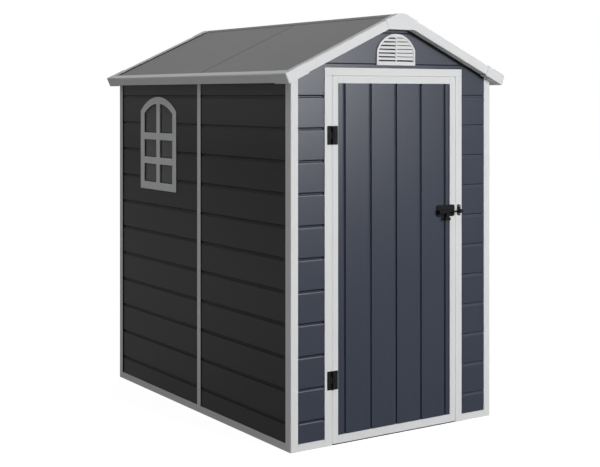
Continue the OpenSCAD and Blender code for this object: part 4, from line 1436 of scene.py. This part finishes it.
def hinge_leaf(side, foot, knuckles):
    """One leaf of a hinge. Side is 1 on the door and -1 on the jamb, and knuckles are counted up."""
    def ends(near, far):
        return sorted((PIN.x + side * near * MM, PIN.x + side * far * MM))

    near, far = ends(5.9, 31)
    pieces = [plate("hinge_plate", (near, PLATE_FACE, foot), (far, FRONT, foot + HINGE_TALL), 3 * MM)]
    for k in knuckles:
        start = foot + k * KNUCKLE_STEP
        top = start + KNUCKLE_TALL
        pieces.append(round_bar("knuckle", (PIN.x, PIN.y, start), (PIN.x, PIN.y, top), KNUCKLE))
        near, far = ends(1, 10)
        pieces.append(block("tab", (near, PLATE_FACE, start), (far, FRONT - 0.2 * MM, top)))
    for share in SCREW_SHARES:
        pieces.append(screw(PIN.x + side * 20 * MM, foot + share * HINGE_TALL, PLATE_FACE))
    return pieces


door_leaves = []
jamb_leaves = []
for foot in (hinge_low.z, hinge_high.z - HINGE_TALL):
    door_leaves += hinge_leaf(1, foot, (1,))
    jamb_leaves += hinge_leaf(-1, foot, (0, 2))
    jamb_leaves.append(round_bar("pin", (PIN.x, PIN.y, foot + 0.2 * MM),
                                 (PIN.x, PIN.y, foot + HINGE_TALL - 0.2 * MM), 3 * MM))
dress(joined("hinge_leaves_on_jamb", jamb_leaves), "root", "black_hardware", "hinge_jamb_leaves")
dress(joined("hinge_leaves_on_door", door_leaves), "door", "black_hardware", "hinge_door_leaves")

# %% [markdown]
# The bolt slides in a barrel on a plate. The barrel is a turned tube with a collar at each end, a
# bore for the rod and a slot for the handle. Its middle is made thinner between two cuts, and the
# bore and the slot are carved out of it.

# %% Bolt housing
house_low, house_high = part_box("bolt_housing")
rod_low, rod_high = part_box("bolt_rod")
BOLT_Z = rod_high.z - 5 * MM
BOLT_Y = FRONT - 13 * MM
BARREL = 12 * MM
BARREL_END = house_high.x - 17 * MM
SLOT = (house_high.x - 74 * MM, house_high.x - 28 * MM)
PANEL_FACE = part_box("door_panel")[0].y
STILE_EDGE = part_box("door_stile_right")[0].x


def bolt_bar(name, start, end, radius, rim=0, sides=40):
    """A cylinder on the bolt's line between two places on X."""
    return round_bar(name, (start, BOLT_Y, BOLT_Z), (end, BOLT_Y, BOLT_Z), radius, rim, sides)


def waisted(piece, rings, waist, y, z):
    """Cuts a bar along X at four places and makes it thinner between the inner two."""
    for x in rings:
        cut(piece, (x, 0, 0), (1, 0, 0))
    return rework(piece, "VERT", lambda co: any(close_to(co.x, x) for x in rings[1:3]),
                  bpy.ops.transform.resize, value=(1, waist, waist), center_override=(0, y, z))


barrel = bolt_bar("barrel", house_low.x, BARREL_END, BARREL, 0, 48)
collars = (house_low.x + 7 * MM, house_low.x + 8.5 * MM, BARREL_END - 6 * MM, BARREL_END - 5 * MM)
waisted(barrel, collars, 0.9, BOLT_Y, BOLT_Z)
carve(barrel, bolt_bar("bore", house_low.x - MM, house_high.x + MM, 5.06 * MM))
carve(barrel, block("slot", (SLOT[0], BOLT_Y - 2 * BARREL, BOLT_Z - 2 * BARREL),
                    (SLOT[1], PLATE_FACE, BOLT_Z + 2.5 * MM)))
housing = [soften(barrel, 0.6 * MM, 2, angle=50)]
housing.append(plate("bolt_plate", (house_low.x, PLATE_FACE, house_low.z),
                     (house_high.x, FRONT, house_high.z), 12 * MM))
housing.append(bar("packing", (house_low.x + 2 * MM, FRONT - 0.5 * MM, house_low.z + 2 * MM),
                   (STILE_EDGE, PANEL_FACE, house_high.z - 2 * MM), 0.5 * MM))
for x in (house_low.x + 10 * MM, house_high.x - 10 * MM):
    for z in (house_low.z + 10 * MM, house_high.z - 9 * MM):
        housing.append(screw(x, z, PLATE_FACE))
dress(joined("bolt_housing_pressing", housing), "door", "black_hardware", "bolt_housing")

# %% [markdown]
# The rod carries a stem through the slot, and on the stem a ribbed grip lies along the rod. Fingers
# push it sideways, so its ends are rounded wide.

# %% Bolt rod and grip
GRIP = 10 * MM
GRIP_HALF = 18 * MM
STEM = 11 * MM
grip_y = FRONT - 17 * MM
grip_z = rod_low.z + GRIP
stem_x = SLOT[0] + 5 * MM
grip_x = stem_x + STEM / 2
rings = [grip_x + shift * MM for shift in (-12.5, -8.5, 8.5, 12.5)]
grip = round_bar("grip", (grip_x - GRIP_HALF, grip_y, grip_z), (grip_x + GRIP_HALF, grip_y, grip_z),
                 GRIP, 0, 40)
waisted(grip, rings, 0.82, grip_y, grip_z)
bolt = [bolt_bar("rod", house_low.x + 8 * MM, rod_high.x, 4.3 * MM, 1.2 * MM),
        bar("stem", (stem_x, FRONT - 20 * MM, grip_z), (stem_x + STEM, FRONT - 10 * MM, BOLT_Z), 2 * MM),
        soften(grip, 2.6 * MM, 4, angle=60)]
dress(joined("bolt_rod_and_grip", bolt), "bolt", "black_hardware", "bolt_rod")

# %% [markdown]
# The keeper on the jamb takes the rod's end. It is a staple folded over a plate, open on the left,
# and a round nose with a bore closes it on the right. Its two small screws are bare steel.

# %% Bolt keeper
keep_low, keep_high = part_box("bolt_keeper")
KEEPER_WIDE = 23 * MM
NOSE_BORE = 5.3 * MM
STAPLE_END = keep_low.x + KEEPER_WIDE
staple = block("staple", (keep_low.x, keep_low.y, BOLT_Z - 9.5 * MM), (STAPLE_END, FRONT, BOLT_Z + 9.5 * MM))
soften(staple, 2.2 * MM, 3)
carve(staple, block("tunnel", (keep_low.x - 5 * MM, keep_low.y + 3 * MM, BOLT_Z - 6.5 * MM),
                    (STAPLE_END - 2.5 * MM, FRONT + 5 * MM, BOLT_Z + 6.5 * MM)))
carve(staple, bolt_bar("staple_bore", STAPLE_END - 5 * MM, STAPLE_END + 5 * MM, NOSE_BORE))
nose = bolt_bar("nose", STAPLE_END - 1.5 * MM, keep_high.x, 6 * MM, 0.6 * MM)
carve(nose, bolt_bar("nose_bore", STAPLE_END - 5 * MM, keep_high.x - 2.5 * MM, NOSE_BORE))
keeper = [staple, nose, plate("keeper_plate", (keep_low.x, PLATE_FACE, keep_low.z),
                              (STAPLE_END, FRONT, keep_high.z), 11 * MM)]
keeper_screws = [screw(keep_low.x + KEEPER_WIDE / 2, z, PLATE_FACE, 2.3 * MM)
                 for z in (keep_low.z + 9 * MM, keep_high.z - 9 * MM)]
dress(joined("keeper_screws", keeper_screws), "root", "beam_metal")
dress(joined("bolt_keeper_pressing", keeper), "root", "black_hardware", "bolt_keeper")

# %% [markdown]
# ## Close
